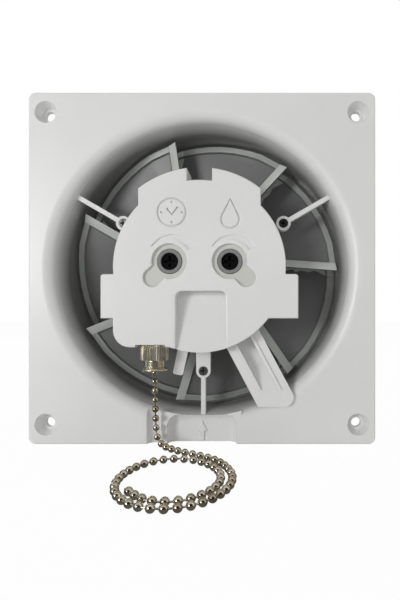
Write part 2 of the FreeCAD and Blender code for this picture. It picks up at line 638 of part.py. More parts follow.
def make_impeller():
    """Hub cup with a ring of blades, and the clip that keeps it on the shaft."""
    corners = [
        ("hub_radius - hub_wall", "hub_front"), ("hub_radius", "hub_front"), ("hub_radius", "hub_rear"),
        ("hub_boss", "hub_rear"), ("hub_boss", "hub_rear + hub_boss_length"),
        ("shaft_radius", "hub_rear + hub_boss_length"), ("shaft_radius", "hub_rear - hub_wall"),
        ("hub_radius - hub_wall", "hub_rear - hub_wall"),
    ]
    hub = turned("hub_cup", "XY_Plane", corners)
    round_edges(hub, "hub_shoulder", "hub_round",
                lambda edge: is_ring(edge, mm("hub_radius"), mm("hub_rear")))
    blade = doc.addObject("Part::Feature", "blade")
    blade.Shape = blade_shape()
    blades = [turned_copy("blade_%d" % i, blade, i * 360 / BLADE_COUNT) for i in range(BLADE_COUNT)]
    piece("impeller", fuse("impeller", hub, *blades))
    seat = "hub_rear + hub_boss_length"
    clip = rod("clip_disc", "clip_radius", (seat, seat + " + clip_sheet"))
    hole = rod("clip_hole", "shaft_radius", (seat + " - overrun", seat + " + clip_sheet + overrun"))
    piece("impeller_clip", cut("impeller_clip", clip, hole))


def soften_front(part, y, edge):
    """Bevel the front edges of a solid; no edge size leaves it sharp."""
    if edge is None:
        return part
    front = mm(y[0]) + mm(edge) / 2
    return chamfer_edges(part.Name + "_soft", part, edge, lambda line: line.BoundBox.YMax < front)


def box_outline(name, inset, y, edge=None):
    """Solid with the outline of the control box, drawn in all round by an inset."""
    disc = rod(name + "_disc", "box_radius - %s" % inset, y)
    half = "crown_half_width - %s" % inset
    crown = common(name + "_crown", rod(name + "_crown_disc", CROWN_RADIUS + " - %s" % inset, y),
                   block(name + "_crown_span", ("-(%s)" % half, half), y, ("0", CROWN_RADIUS)))
    gap = "crown_notch + %s" % inset
    lobes = cut(name + "_lobes", crown,
                block(name + "_crown_gap", ("-(%s)" % gap, gap), y, ("0", CROWN_RADIUS)))
    reach = EAR_HALF_WIDTH + " - %s" % inset
    ears = block(name + "_ears", ("-(%s)" % reach, reach), y,
                 ("-ear_bottom + %s" % inset, "-ear_top - %s" % inset))
    if inset == "0":
        ear_level = mm("-ear_top - overrun")
        ears = fillet_edges(name + "_ear_corners", ears, "ear_corner",
                            lambda line: is_along_axis(line) and line.BoundBox.ZMin > ear_level)
    shoulder = block(name + "_shoulder", ("-box_radius + %s" % inset, "0"), y,
                     ("-lobe_bottom + %s" % inset, "-(ear_top + ear_bottom) / 2"))
    corner_level = mm("-lobe_bottom / 2")
    corner_side = mm("-box_radius / 2")
    lobe = fillet_edges(name + "_lobe", shoulder, "lobe_corner - %s" % inset,
                        lambda line: is_along_axis(line) and line.BoundBox.ZMax < corner_level
                        and line.BoundBox.XMax < corner_side)
    solids = [soften_front(part, y, edge) for part in (disc, lobes, ears, lobe)]
    whole = fuse(name + "_whole", *solids)
    wide = "(box_radius + ear_reach)"
    floor = block(name + "_floor_cut", ("-" + wide, "-ramp_left"), y,
                  ("-" + wide, "-box_bottom + %s" % inset))
    notch = block(name + "_bush_cut", ("-notch_left - %s" % inset, "-notch_right + %s" % inset), y,
                  ("-" + wide, "-notch_top + %s" % inset))
    return cut(name, whole, floor, notch)


def ramp(name, grow):
    """Wedge of the sloping recess in the lid, grown all round."""
    wedge = doc.addObject("Part::Wedge", name)
    wedge.Placement = Placement(Vector(), Rotation(Vector(1, 0, 0), 90))
    for low in ("Xmin", "X2min"):
        bind(wedge, **{low: "-ramp_left - %s" % grow})
    for high in ("Xmax", "X2max"):
        bind(wedge, **{high: "ramp_right + %s" % grow})
    bind(wedge, Ymin="-box_radius - overrun", Ymax="-ramp_top + %s" % grow)
    bind(wedge, Zmin="box_front - ramp_shallow - %s" % grow, Z2min="box_front - ramp_deep - %s" % grow)
    bind(wedge, Zmax="box_front + overrun", Z2max="box_front + overrun")
    top_level = mm("-ramp_top - overrun")
    return fillet_edges(name + "_corners", wedge, "ramp_corner + %s" % grow,
                        lambda edge: is_along_axis(edge) and edge.BoundBox.ZMin > top_level)


def windows(name, grow, y):
    """The two keyhole windows over the trimmers, grown all round."""
    holes = []
    for side in (-1, 1):
        mark = "%s_%s" % (name, "left" if side < 0 else "right")
        holes.append(rod(mark, "window_radius + %s" % grow, y, "%d * trimmer_x" % side, "trimmer_z"))
        holes.append(rod(mark + "_lobe", "window_lobe + %s" % grow, y,
                         "%d * (trimmer_x + lobe_across)" % side, "trimmer_z - lobe_down"))
    return holes


LID_REAR = "-box_rear - base_sheet"
BASE_FRONT = LID_REAR


def make_lid():
    """Front shell of the control box with two window wells and a sloping recess."""
    solid = box_outline("lid_solid", "0", ("-box_front", LID_REAR), "lid_edge")
    space = box_outline("lid_space", "box_wall", ("box_wall - box_front", LID_REAR + " + overrun"))
    well = "well_depth - box_front"
    kept = windows("well_wall", "well_wall", ("-box_front", well + " + well_wall"))
    cavity = cut("lid_cavity", space, ramp("ramp_wall", "box_wall"), *kept)
    openings = windows("window", "0", ("-box_front - overrun", well))
    for side in (-1, 1):
        openings.append(rod("ring_hole_%d" % (side + 1), "trimmer_ring + trimmer_gap",
                            ("-box_front", well + " + well_wall + overrun"),
                            "%d * trimmer_x" % side, "trimmer_z"))
    bush_hole = post("lid_bush_hole", "bush_thread + bush_gap",
                     ("-lobe_bottom - overrun", "-switch_bottom + overrun"), "-bush_x", "-bush_y")
    slot = channel_block("channel_slot", "channel_gap",
                         ("-plate_depth - channel_sheet - channel_rib_height - channel_gap",
                          "-plate_depth + channel_gap"))
    spaces = [cavity, ramp("ramp_space", "0"), bush_hole, slot] + openings
    lid = cut("lid_opened", solid, *spaces)
    front, ramp_top = mm("-box_front + lid_edge / 2"), mm("-ramp_top")
    radii = (mm("window_radius"), mm("window_lobe"))

    def is_window_edge(edge):
        lies_in_front = edge.BoundBox.YMax < front and edge.BoundBox.ZMin > ramp_top
        return lies_in_front and isinstance(edge.Curve, Part.Circle) and edge.Curve.Radius in radii

    piece("control_box_lid", chamfer_edges("control_box_lid", lid, "lid_edge", is_window_edge))


def base_screw_places():
    """Places of the screws that hold the box on the motor bracket."""
    return [("-post_x", "-post_low"), ("post_x", "-post_low"), ("0", "post_high")]


def standoff_places():
    """Places of the standoffs under the corners of the board."""
    across = BOARD_HALF_WIDTH + " - standoff_inset"
    return [("%d * (%s)" % (side, across), level) for side in (-1, 1)
            for level in (BOARD_TOP + " - standoff_inset", "standoff_inset - board_low")]


def make_base():
    """Rear plate of the control box with its locating rim, posts, standoffs and small tab."""
    plate = box_outline("base_plate", "0", (BASE_FRONT, "-box_rear"))
    rim_inset = "(box_wall + rim_gap)"
    rim_depths = (BASE_FRONT + " - rim_height", BASE_FRONT + " + base_sheet / 2")
    rim = cut("base_rim", box_outline("base_rim_outer", rim_inset, rim_depths),
              box_outline("base_rim_inner", "(box_wall * 2 + rim_gap)",
                          (BASE_FRONT + " - rim_height - overrun", "0")),
              channel_block("base_rim_slot", "(channel_gap + rim_gap)", ("-box_front", BASE_FRONT)),
              block("base_switch_room",
                    ("-bush_x - switch_width / 2 - rim_gap", "-bush_x + switch_width / 2 + rim_gap"),
                    ("-box_front", BASE_FRONT), ("-box_radius", "-switch_top + rim_gap")))
    posts, holes = [], []
    for i, (x, z) in enumerate(base_screw_places()):
        posts.append(rod("base_post_%d" % i, "post_radius", (BASE_FRONT, BRACKET_FRONT), x, z))
        holes.append(rod("base_hole_%d" % i, "motor_screw_shank + screw_gap",
                         (BASE_FRONT + " - overrun", BRACKET_FRONT + " + overrun"), x, z))
    feet = [rod("standoff_%d" % i, "standoff_radius",
                (BASE_FRONT + " - standoff", BASE_FRONT + " + base_sheet / 2"), x, z)
            for i, (x, z) in enumerate(standoff_places())]
    tab = block("tab_bar", ("-tab_root", "tab_length"), (BASE_FRONT, "-box_rear"),
                ("-tab_width / 2", "tab_width / 2"))
    tab_end = mm("tab_length - tab_corner")
    tab_round = fillet_edges("tab_round", tab, "tab_corner",
                             lambda edge: is_along_axis(edge) and edge.BoundBox.XMin > tab_end)
    finger = turned_copy("tab", tab_round, TAB_ANGLE)
    finger.Shape = finger.Shape.translated(Vector(mm("-tab_x"), 0, mm("-tab_z")))
    base_solid = fuse("base_solid", plate, rim, *posts, *feet, finger)
    piece("control_box_base", cut("control_box_base", base_solid, *holes))
    tip = BRACKET_FRONT + " + bracket_sheet"
    screws = [screw("base_screw_%d" % i, "base_screw_head", "motor_screw_shank", BASE_FRONT, tip,
                    "head_height", x, z)
              for i, (x, z) in enumerate(base_screw_places())]
    piece("base_screws", group("base_screws", *screws))


BOARD_REAR = BASE_FRONT + " - standoff"
BOARD_FRONT = BOARD_REAR + " - board_sheet"


def make_board():
    """Circuit board with its relay, capacitor and humidity sensor."""
    piece("circuit_board", block("circuit_board", ("-" + BOARD_HALF_WIDTH, BOARD_HALF_WIDTH),
                                 (BOARD_FRONT, BOARD_REAR), ("-board_low", BOARD_TOP)))
    piece("relay", block("relay", ("-relay_width / 2", "relay_width / 2"),
                         (BOARD_FRONT + " - relay_depth", BOARD_FRONT),
                         ("relay_z", "relay_z + relay_height")))
    piece("capacitor", rod("capacitor", "capacitor_radius",
                           (BOARD_FRONT + " - capacitor_height", BOARD_FRONT),
                           "-capacitor_x", "capacitor_z"))
    piece("humidity_sensor", block("humidity_sensor", ("sensor_x", "sensor_x + sensor_width"),
                                   (BOARD_FRONT + " - sensor_depth", BOARD_FRONT),
                                   ("sensor_z", "sensor_z + sensor_height")))


def make_trimmers():
    """Each trimmer: a ring on the board with a slotted dial that turns in it."""
    for label, side in (("timer", -1), ("humidity", 1)):
        x = "%d * trimmer_x" % side
        front = "ring_sunk - box_front"
        ring = rod(label + "_ring", "trimmer_ring", (front, BOARD_FRONT), x, "trimmer_z")
        dial_front = "dial_sunk - box_front"
        seat = dial_front + " + dial_length + dial_gap"
        bore = rod(label + "_bore", "dial_radius + dial_gap", (front + " - overrun", seat), x,
                   "trimmer_z")
        piece(label + "_trimmer", cut(label + "_trimmer", ring, bore))
        button = rod(label + "_button", "dial_radius", (dial_front, dial_front + " + dial_length"), x,
                     "trimmer_z")
        depths = (dial_front + " - overrun", dial_front + " + slot_depth")
        long, half = "slot_length / 2", "slot_width / 2"
        across = block(label + "_slot_a", ("%s - %s" % (x, long), "%s + %s" % (x, long)), depths,
                       ("trimmer_z - " + half, "trimmer_z + " + half))
        along = block(label + "_slot_b", ("%s - %s" % (x, half), "%s + %s" % (x, half)), depths,
                      ("trimmer_z - " + long, "trimmer_z + " + long))
        piece(label + "_dial", cut(label + "_dial", button, across, along))


def make_terminals():
    """Terminal block on the base, with its two clamp screws."""
    right = "box_radius - terminal_side_gap"
    left = right + " - terminal_width"
    top = "-box_radius + terminal_foot_gap + terminal_height"
    body = block("terminal_body", (left, right), (BASE_FRONT + " - terminal_depth", BASE_FRONT),
                 (top + " - terminal_height", top))
    wells, screws = [], []
    front = BASE_FRONT + " - terminal_depth"
    for side in (-1, 1):
        x = left + " + terminal_width / 2 + %d * terminal_pitch / 2" % side
        z = top + " - terminal_height / 2"
        mark = "_%d" % (side + 1)
        wells.append(rod("terminal_well" + mark, "terminal_screw + screw_gap",
                         (front + " - overrun", front + " + terminal_depth / 2"), x, z))
        screws.append(screw("terminal_screw" + mark, "terminal_screw", "terminal_shank",
                            front + " + terminal_proud",
                            front + " + terminal_depth / 2", "terminal_proud", x, z))
    piece("terminal_block", cut("terminal_block", body, *wells))
    piece("terminal_screws", group("terminal_screws", *screws))


def make_switch():
    """Pull switch: body, plunger, spring, threaded bush and knurled nut on one vertical axis."""
    x, y = "-bush_x", "-bush_y"
    floor = "-switch_bottom + switch_shoulder"
    body = block("switch_case", ("-bush_x - switch_width / 2", "-bush_x + switch_width / 2"),
                 ("-bush_y - switch_depth / 2", BASE_FRONT), ("-switch_bottom", "-switch_top"))
    cylinder = post("switch_cylinder", "piston_bore", (floor, "-piston_top + piston_gap"), x, y)
    way = post("switch_way", "bush_bore", ("-switch_bottom - overrun", floor + " + overrun"), x, y)
    piece("switch_body", cut("switch_body", body, cylinder, way))
    head_low = "-piston_top - piston_head"
    head = post("plunger_head", "piston_bore - piston_gap", (head_low, "-piston_top"), x, y)
    stem = post("plunger_stem", "stem_radius",
                (head_low + " - stem_length", head_low + " + piston_head / 2"), x, y)
    piece("switch_plunger", fuse("switch_plunger", head, stem))
    span = (floor, head_low + " - spring_gap")
    outer = post("spring_tube", "spring_outer", span, x, y)
    inner = post("spring_hole", "spring_inner", (floor + " - overrun", head_low + " + overrun"), x, y)
    piece("switch_spring", cut("switch_spring", outer, inner))
    nut_low = "-notch_top - nut_height"
    low = nut_low + " - neck_length - flare_length - lip_height"
    corners = [
        ("bush_bore", "-switch_bottom"), ("bush_thread", "-switch_bottom"), ("bush_thread", nut_low),
        ("neck_radius", nut_low), ("neck_radius", nut_low + " - neck_length"),
        ("rim_radius", low + " + lip_height"), ("rim_radius", low), ("mouth_radius", low),
        ("bush_bore", nut_low + " - neck_length"),
    ]
    piece("switch_bush", stand(turned("switch_bush", "XZ_Plane", corners), x, y, 0))
    make_nut(x, y, nut_low)


def make_nut(x, y, low):
    """Knurled nut on the bush: a ring of fine teeth with chamfered ends."""
    crest, root = mm("nut_radius"), mm("nut_radius - knurl_depth")
    points = []
    for tooth in range(KNURL_COUNT * 2):
        turn = math.pi * tooth / KNURL_COUNT
        reach = crest if tooth % 2 else root
        points.append(Vector(reach * math.cos(turn), reach * math.sin(turn), 0))
    teeth = doc.addObject("Part::Feature", "nut_teeth")
    teeth.Shape = Part.Face(Part.makePolygon(points + points[:1])).extrude(Vector(0, 0, mm("nut_height")))
    edge, top = "nut_radius - nut_edge", "overrun + nut_height"
    blank = turned("nut_blank", "XZ_Plane", [
        ("bush_thread", "overrun"), (edge, "overrun"), ("nut_radius", "overrun + nut_edge"),
        ("nut_radius", top + " - nut_edge"), (edge, top), ("bush_thread", top)])
    stand(teeth, x, y, low)
    stand(blank, x, y, low + " - overrun")
    piece("bush_nut", common("bush_nut", blank, teeth))


def channel_block(name, grow, y, root="channel_root", half="channel_width / 2"):
    """Block in the slanted frame of the cable channel, its first axis running down the channel."""
    length = "(%s - %s) / %.6f + channel_width" % (CHANNEL_LOW, CHANNEL_Z,
                                                   math.sin(math.radians(-CHANNEL_ANGLE)))
    across = "%s + %s" % (half, grow)
    flat = block(name + "_flat", ("-(%s) - %s" % (root, grow), length), y, ("-(%s)" % across, across))
    slanted = turned_copy(name, flat, CHANNEL_ANGLE)
    slanted.Shape = slanted.Shape.translated(Vector(mm(CHANNEL_X), 0, -mm(CHANNEL_Z)))
    return slanted


def channel_below(name, level):
    """Everything below a level, to end the channel there."""
    return block(name, ("-plate_width", "plate_width"), ("-box_front", "0"),
                 ("-plate_height", "-" + level))


def make_channel():
    """Slanted cable channel: two flanges, a sunk trough between two ribs and a level pad."""
    front = "-plate_depth - channel_sheet"
    strip = cut("channel_strip", channel_block("channel_sheet", "0", (front, "-plate_depth")),
                channel_below("channel_foot", CHANNEL_LOW))
    doc.recompute()
    far = strip.Shape.BoundBox.XMax - mm("overrun")
    pad = fillet_edges("channel_pad", strip, "channel_corner",
                       lambda edge: is_along_axis(edge) and edge.BoundBox.XMin > far)
    outer, inner = "(rib_offset + channel_rib / 2)", "(rib_offset - channel_rib / 2)"
    crest, floor = front + " - channel_rib_height", "-plate_depth + trough_depth"
    walls = channel_block("channel_walls", "0", (crest, floor), half=outer)
    trough = cut("channel_trough", walls, channel_below("trough_foot", PAD_TOP))
    room = channel_block("channel_room", "0", (crest + " - overrun", floor + " - channel_rib"),
                         root="(channel_root + overrun)", half=inner)
    hollow = cut("channel_hollow", room, channel_below("hollow_foot", PAD_TOP), trough_ramp(front, floor))
    box_room = rod("channel_box_room", "box_radius + channel_gap", ("-plate_depth", "0"))
    piece("cable_channel", cut("cable_channel", fuse("channel_solid", pad, trough), hollow, box_room))


def trough_ramp(front, floor):
    """Slope at the end of the trough, from its floor up to the front of the pad."""
    wedge = doc.addObject("Part::Wedge", "trough_ramp")
    wedge.Placement = Placement(Vector(), Rotation(Vector(1, 0, 0), 90))
    bind(wedge, Xmin="-plate_width", X2min="-plate_width", Xmax="plate_width", X2max="plate_width")
    bind(wedge, Ymin="-" + PAD_TOP, Ymax="trough_ramp - " + PAD_TOP)
    bind(wedge, Zmin="-(%s)" % floor, Z2min="-(%s)" % floor, Zmax="-(%s)" % front)
    bind(wedge, Z2max="channel_rib - (%s)" % floor)
    return wedge


def coil_point(angle):
    """Point of the chain's coil, an oval turn that steps inwards near the end of its first round."""
    start, end = COIL_STEP_IN_ANGLES
    share = min(max((angle - start) / (end - start), 0), 1)
    eased = share * share * (3 - 2 * share)
    reach = COIL_OUTER_SHARE + (COIL_INNER_SHARE - COIL_OUTER_SHARE) * eased
    turn = math.radians(angle)
    across, along = (axis * reach for axis in COIL_SEMI_AXES)
    return (COIL_CENTRE[0] + across * math.cos(turn), COIL_CENTRE[1] - along * math.sin(turn),
            COIL_CENTRE[2])


def chain_route():
    """All points of the chain: the hand-laid stretch, then the turns of the coil."""
    angles = range(COIL_START_ANGLE, COIL_END_ANGLE + 1, COIL_STEP_ANGLE)
    return [Vector(*point) for point in DROP_ROUTE + [coil_point(angle) for angle in angles]]


def rounded_path(points):
    """Wire of straight runs joined by tangent arcs, each as large as its two runs allow."""
    edges, radii, last = [], [], points[0]
    for before, corner, after in zip(points, points[1:], points[2:]):
        into, out = corner - before, after - corner
        reach = CORNER_RUN_SHARE * min(into.Length, out.Length)
        turn = into.getAngle(out)
        radii.append(reach / math.tan(turn / 2))
        start = corner - into.normalize() * reach
        end = corner + out.normalize() * reach
        inward = ((start + end) * 0.5 - corner).normalize()
        centre = corner + inward * (radii[-1] / math.cos(turn / 2))
        middle = centre - inward * radii[-1]
        edges += [Part.makeLine(last, start), Part.Arc(start, middle, end).toShape()]
        last = end
    edges.append(Part.makeLine(last, points[-1]))
    print("chain radii from %.1f to %.1f mm" % (min(radii), max(radii)))
    return Part.Wire(edges)


def chain_stations(path):
    """Places along the chain with their radii: a bead and a link at each pitch."""
    count = int(path.Length / mm("bead_pitch"))
    pitch = path.Length / count
    stations = [(0.0, BEAD_RADIUS_SHARES[0])]
    for bead in range(count):
        for share, radius in zip(BEAD_STATION_SHARES[1:], BEAD_RADIUS_SHARES[1:]):
            stations.append(((bead + share) * pitch, radius))
        stations.append(((bead + 1) * pitch, BEAD_RADIUS_SHARES[0]))
    print("chain of %d beads, %.1f mm long" % (count, path.Length))
    return stations


def path_frames(path, distances):
    """Point and direction at each distance along a path."""
    frames, passed, edges = [], 0.0, list(path.OrderedEdges)
    for distance in distances:
        while len(edges) > 1 and distance > passed + edges[0].Length:
            passed += edges.pop(0).Length
        edge = edges[0]
        parameter = edge.getParameterByLength(min(max(distance - passed, 0), edge.Length))
        frames.append((edge.valueAt(parameter), edge.tangentAt(parameter)))
    return frames


def least_turn_gap(frames):
    """Least gap between stretches of the chain that lie a few beads or more apart."""
    per_pitch = len(BEAD_STATION_SHARES)
    least = None
    for i, (first, _) in enumerate(frames):
        for second, _ in frames[i + NEIGHBOUR_BEADS * per_pitch:]:
            gap = (second - first).Length - mm("bead_radius * 2")
            least = gap if least is None else min(least, gap)
    print("least gap between turns of the chain %.2f mm" % least)


def beaded(frames, radii):
    """Solid of beads and links lofted through polygons along the frames."""
    wires = []
    side = Vector(1, 0, 0)
    for (point, along), radius in zip(frames, radii):
        side = (side - along * side.dot(along)).normalize()
        other = along.cross(side)
        ring = []
        for corner in range(BEAD_SIDES):
            turn = 2 * math.pi * corner / BEAD_SIDES
            ring.append(point + (side * math.cos(turn) + other * math.sin(turn)) * radius)
        wires.append(Part.makePolygon(ring + ring[:1]))
    return Part.makeLoft(wires, True, True)


def make_chain():
    """Ball chain in two pieces that meet face to face: the drop and the coil on the ground."""
    path = rounded_path(chain_route())
    stations = chain_stations(path)
    frames = path_frames(path, [distance for distance, _ in stations])
    least_turn_gap(frames)
    radii = [share * mm("bead_radius") for _, share in stations]
    start = Vector(*coil_point(COIL_START_ANGLE))
    nearest = min(range(0, len(frames), len(BEAD_STATION_SHARES)),
                  key=lambda i: (frames[i][0] - start).Length)
    for label, low, high in (("chain_drop", 0, nearest + 1), ("chain_coil", nearest, len(frames))):
        chain = doc.addObject("Part::Feature", label)
        chain.Shape = beaded(frames[low:high], radii[low:high])
        piece(label, chain)


def write_pieces():
    """Check every object of the document, then write each piece to its file."""
    doc.recompute()
    for obj in doc.Objects:
        if "Invalid" in obj.State or "Error" in obj.State:
            raise RuntimeError("%s failed: %s" % (obj.Name, obj.State))
    for obj in pieces:
        if obj.Shape.isNull() or not obj.Shape.isValid() or not obj.Shape.Solids:
            raise RuntimeError("%s has no valid solid" % obj.Label)
    os.makedirs("parts", exist_ok=True)
    for obj in pieces:
        obj.Shape.exportStep("parts/%s.step" % obj.Label)
        print("%-20s %2d solids %10.1f mm3" % (obj.Label, len(obj.Shape.Solids), obj.Shape.Volume))


fill_sheet()
make_housing()
make_motor_screws()
make_front_bracket()
make_rear_bracket()
make_core()
make_coils()
make_rotor_and_shaft()
make_impeller()
make_lid()
make_base()
make_board()
make_trimmers()
make_terminals()
make_switch()
make_channel()
make_chain()
write_pieces()
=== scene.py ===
# %% [markdown]
# A wall exhaust fan with its front cover off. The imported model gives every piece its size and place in
# metres: X to the right, Y into the wall, Z up, with the origin on the fan axis in the wall plane.
# This lesson loads it as a fixed frame, then gives each piece soft moulded edges, its small signs and its
# finish. The floor and the lamps come last.

# %% Load the frame
import json
import math
import bpy
from mathutils import Matrix, Vector

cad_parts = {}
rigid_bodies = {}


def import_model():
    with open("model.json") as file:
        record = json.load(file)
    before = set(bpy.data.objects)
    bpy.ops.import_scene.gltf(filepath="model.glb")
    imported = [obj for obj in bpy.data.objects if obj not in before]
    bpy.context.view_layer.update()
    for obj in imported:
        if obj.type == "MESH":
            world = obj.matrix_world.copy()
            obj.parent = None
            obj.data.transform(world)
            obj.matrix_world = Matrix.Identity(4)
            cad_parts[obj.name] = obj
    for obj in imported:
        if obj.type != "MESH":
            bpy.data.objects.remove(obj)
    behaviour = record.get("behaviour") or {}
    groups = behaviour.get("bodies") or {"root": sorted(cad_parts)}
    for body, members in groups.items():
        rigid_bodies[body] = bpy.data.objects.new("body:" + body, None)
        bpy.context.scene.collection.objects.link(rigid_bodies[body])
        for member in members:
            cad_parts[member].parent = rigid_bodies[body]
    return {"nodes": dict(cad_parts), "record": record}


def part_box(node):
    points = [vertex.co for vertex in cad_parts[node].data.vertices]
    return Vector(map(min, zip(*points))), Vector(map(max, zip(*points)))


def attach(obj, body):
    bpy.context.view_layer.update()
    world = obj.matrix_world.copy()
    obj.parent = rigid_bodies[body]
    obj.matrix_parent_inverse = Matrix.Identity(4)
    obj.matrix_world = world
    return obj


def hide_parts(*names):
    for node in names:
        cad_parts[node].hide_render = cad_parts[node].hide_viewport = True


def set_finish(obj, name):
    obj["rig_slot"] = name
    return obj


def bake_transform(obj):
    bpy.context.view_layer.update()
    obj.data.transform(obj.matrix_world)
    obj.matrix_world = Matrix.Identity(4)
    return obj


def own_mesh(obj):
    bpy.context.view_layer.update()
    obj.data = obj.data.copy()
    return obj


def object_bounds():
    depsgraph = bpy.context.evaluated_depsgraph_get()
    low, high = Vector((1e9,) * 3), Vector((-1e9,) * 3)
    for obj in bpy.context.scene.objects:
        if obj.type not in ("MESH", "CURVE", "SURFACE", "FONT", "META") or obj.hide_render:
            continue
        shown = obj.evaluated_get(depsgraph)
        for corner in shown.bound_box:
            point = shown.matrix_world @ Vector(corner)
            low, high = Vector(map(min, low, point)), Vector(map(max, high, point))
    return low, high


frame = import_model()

cad_low, cad_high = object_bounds()
scene = bpy.context.scene
scene.view_settings.view_transform = "Standard"

# %% [markdown]
# The camera comes first, because the chain has to lie where the photograph shows it.
# The plate's edges are parallel to the picture's edges, so the camera looks straight along Y. It could be
# turned to bring the fan into the middle, but that would slant the edges, so a lens shift does it instead.

# %% Camera
CAMERA_PLACE = (0.02335, -0.207, -0.0193)
PICTURE_SIZE = (400, 600)
FOCAL_PIXELS = 463.4
AXIS_PIXEL = (256, 313)
SENSOR_WIDTH = 36
NEAR_LIMIT = 0.01


def add_camera():
    """Camera with the photograph's place, lens and shift."""
    data = bpy.data.cameras.new("camera")
    data.sensor_width = SENSOR_WIDTH
    data.lens = SENSOR_WIDTH * FOCAL_PIXELS / max(PICTURE_SIZE)
    data.shift_x = (PICTURE_SIZE[0] / 2 - AXIS_PIXEL[0]) / max(PICTURE_SIZE)
    data.shift_y = (AXIS_PIXEL[1] - PICTURE_SIZE[1] / 2) / max(PICTURE_SIZE)
    data.clip_start = NEAR_LIMIT
    camera = bpy.data.objects.new("camera", data)
    scene.collection.objects.link(camera)
    camera.location = CAMERA_PLACE
    camera.rotation_euler = (math.radians(90), 0, 0)
    scene.camera = camera
    return data


lens = add_camera()
print("camera lens %.1f mm, shift %.3f, %.3f" % (lens.lens, lens.shift_x, lens.shift_y))

# %% [markdown]
# The pull chain hangs from the switch and lies in a loose oval coil on the ground. Its route is a list of
# points: the drop and the run to the coil are listed one by one, and the coil's turns come from a loop that
# steps inwards once. A line straight through the points would kink at each of them, so a smooth NURBS line
# follows them, and the beads are strung along it.

# %% Route of the chain
DROP_ROUTE = [
    (-0.0200, -0.0090, -0.0255), (-0.0200, -0.0090, -0.0694), (-0.0166, -0.0128, -0.0745),
    (-0.0116, -0.0186, -0.0745), (-0.0052, -0.0234, -0.0745), (0.0016, -0.0276, -0.0745),
    (0.0076, -0.0320, -0.0745),
]
COIL_CENTRE = (-0.0035, -0.0530, -0.0745)
COIL_SEMI_AXES = (0.0189, 0.0232)
COIL_ANGLES = range(-36, 511, 26)
COIL_SHARES = (1.03, 0.82)
COIL_STEP_IN_ANGLES = (225, 324)
ROUTE_ORDER = 3
ROUTE_STEPS = 16


def coil_point(angle):
    """Point of the coil at an angle in degrees."""
    start, end = COIL_STEP_IN_ANGLES
    share = min(max((angle - start) / (end - start), 0), 1)
    eased = share * share * (3 - 2 * share)
    reach = COIL_SHARES[0] + (COIL_SHARES[1] - COIL_SHARES[0]) * eased
    turn = math.radians(angle)
    x = COIL_CENTRE[0] + COIL_SEMI_AXES[0] * reach * math.cos(turn)
    y = COIL_CENTRE[1] - COIL_SEMI_AXES[1] * reach * math.sin(turn)
    return (x, y, COIL_CENTRE[2])


def curve_along(name, kind, points):
    """Curve with one spline along points, and that spline."""
    curve = bpy.data.curves.new(name, "CURVE")
    curve.dimensions = "3D"
    spline = curve.splines.new(kind)
    spline.points.add(len(points) - 1)
    for control, place in zip(spline.points, points):
        control.co = (*place, 1)
    return curve, spline


def smooth_line(name, points):
    """Points along a NURBS spline that follows the route's control points."""
    curve, spline = curve_along(name, "NURBS", points)
    spline.order_u = ROUTE_ORDER
    spline.use_endpoint_u = True
    spline.resolution_u = ROUTE_STEPS
    holder = bpy.data.objects.new(name, curve)
    line = bpy.data.meshes.new_from_object(holder)
    places = [vertex.co.copy() for vertex in line.vertices]
    bpy.data.objects.remove(holder)
    return places


chain_line = smooth_line("chain_route", DROP_ROUTE + [coil_point(angle) for angle in COIL_ANGLES])
chain_length = sum((b - a).length for a, b in zip(chain_line, chain_line[1:]))
print("chain line has %d points and is %.1f mm long" % (len(chain_line), chain_length * 1000))

# %% [markdown]
# Operators act on whatever is selected, so each step first lets go of everything and takes hold of one
# object. These helpers do that, and settle a new piece's place into its mesh.

# %% Taking hold of one object


def hold(obj):
    """Make an object the only selected one."""
    if bpy.context.object and bpy.context.object.mode != "OBJECT":
        bpy.ops.object.mode_set(mode="OBJECT")
    bpy.ops.object.select_all(action="DESELECT")
    obj.select_set(True)
    bpy.context.view_layer.objects.active = obj
    return obj


def new_piece(name):
    """Name the object that an operator has just added, and settle its place into its mesh."""
    piece = hold(bpy.context.object)
    piece.name = name
    piece.data.name = name
    bpy.ops.object.transform_apply(location=True, rotation=True, scale=True)
    return piece


def select_faces(piece, wanted):
    """Go into edit mode with only the wanted faces selected."""
    hold(piece)
    bpy.ops.object.mode_set(mode="EDIT")
    bpy.ops.mesh.select_mode(type="FACE")
    bpy.ops.mesh.select_all(action="DESELECT")
    bpy.ops.object.mode_set(mode="OBJECT")
    for face in piece.data.polygons:
        face.select = wanted(face)
    bpy.ops.object.mode_set(mode="EDIT")


def edit_all(piece):
    """Go into edit mode with everything selected."""
    hold(piece)
    bpy.ops.object.mode_set(mode="EDIT")
    bpy.ops.mesh.select_all(action="SELECT")


def join(piece, others):
    """Join other objects to a piece."""
    hold(piece)
    for other in others:
        other.select_set(True)
    bpy.ops.object.join()
    return piece


print("ready to hold one object at a time")

# %% [markdown]
# The next helpers finish a mesh. A modifier is applied at once, so that the piece is a plain mesh. Points on
# the same spot are merged, because an open seam shows as a crease and lets a Boolean go wrong.

# %% Finishing a mesh
SMOOTH_ANGLE = 30
ROUND_SMOOTH_ANGLE = 60
WELD_GAP = 0.000004


def apply_modifier(piece, kind, **settings):
    """Add a modifier, set it and apply it."""
    hold(piece)
    modifier = piece.modifiers.new(kind.lower(), kind)
    for key, value in settings.items():
        setattr(modifier, key, value)
    bpy.ops.object.modifier_apply(modifier=modifier.name)
    return piece


def smooth(piece, angle=SMOOTH_ANGLE):
    """Smooth shading up to an angle, with the large faces kept flat."""
    hold(piece)
    bpy.ops.object.shade_smooth_by_angle(angle=math.radians(angle))
    return apply_modifier(piece, "WEIGHTED_NORMAL", keep_sharp=True)


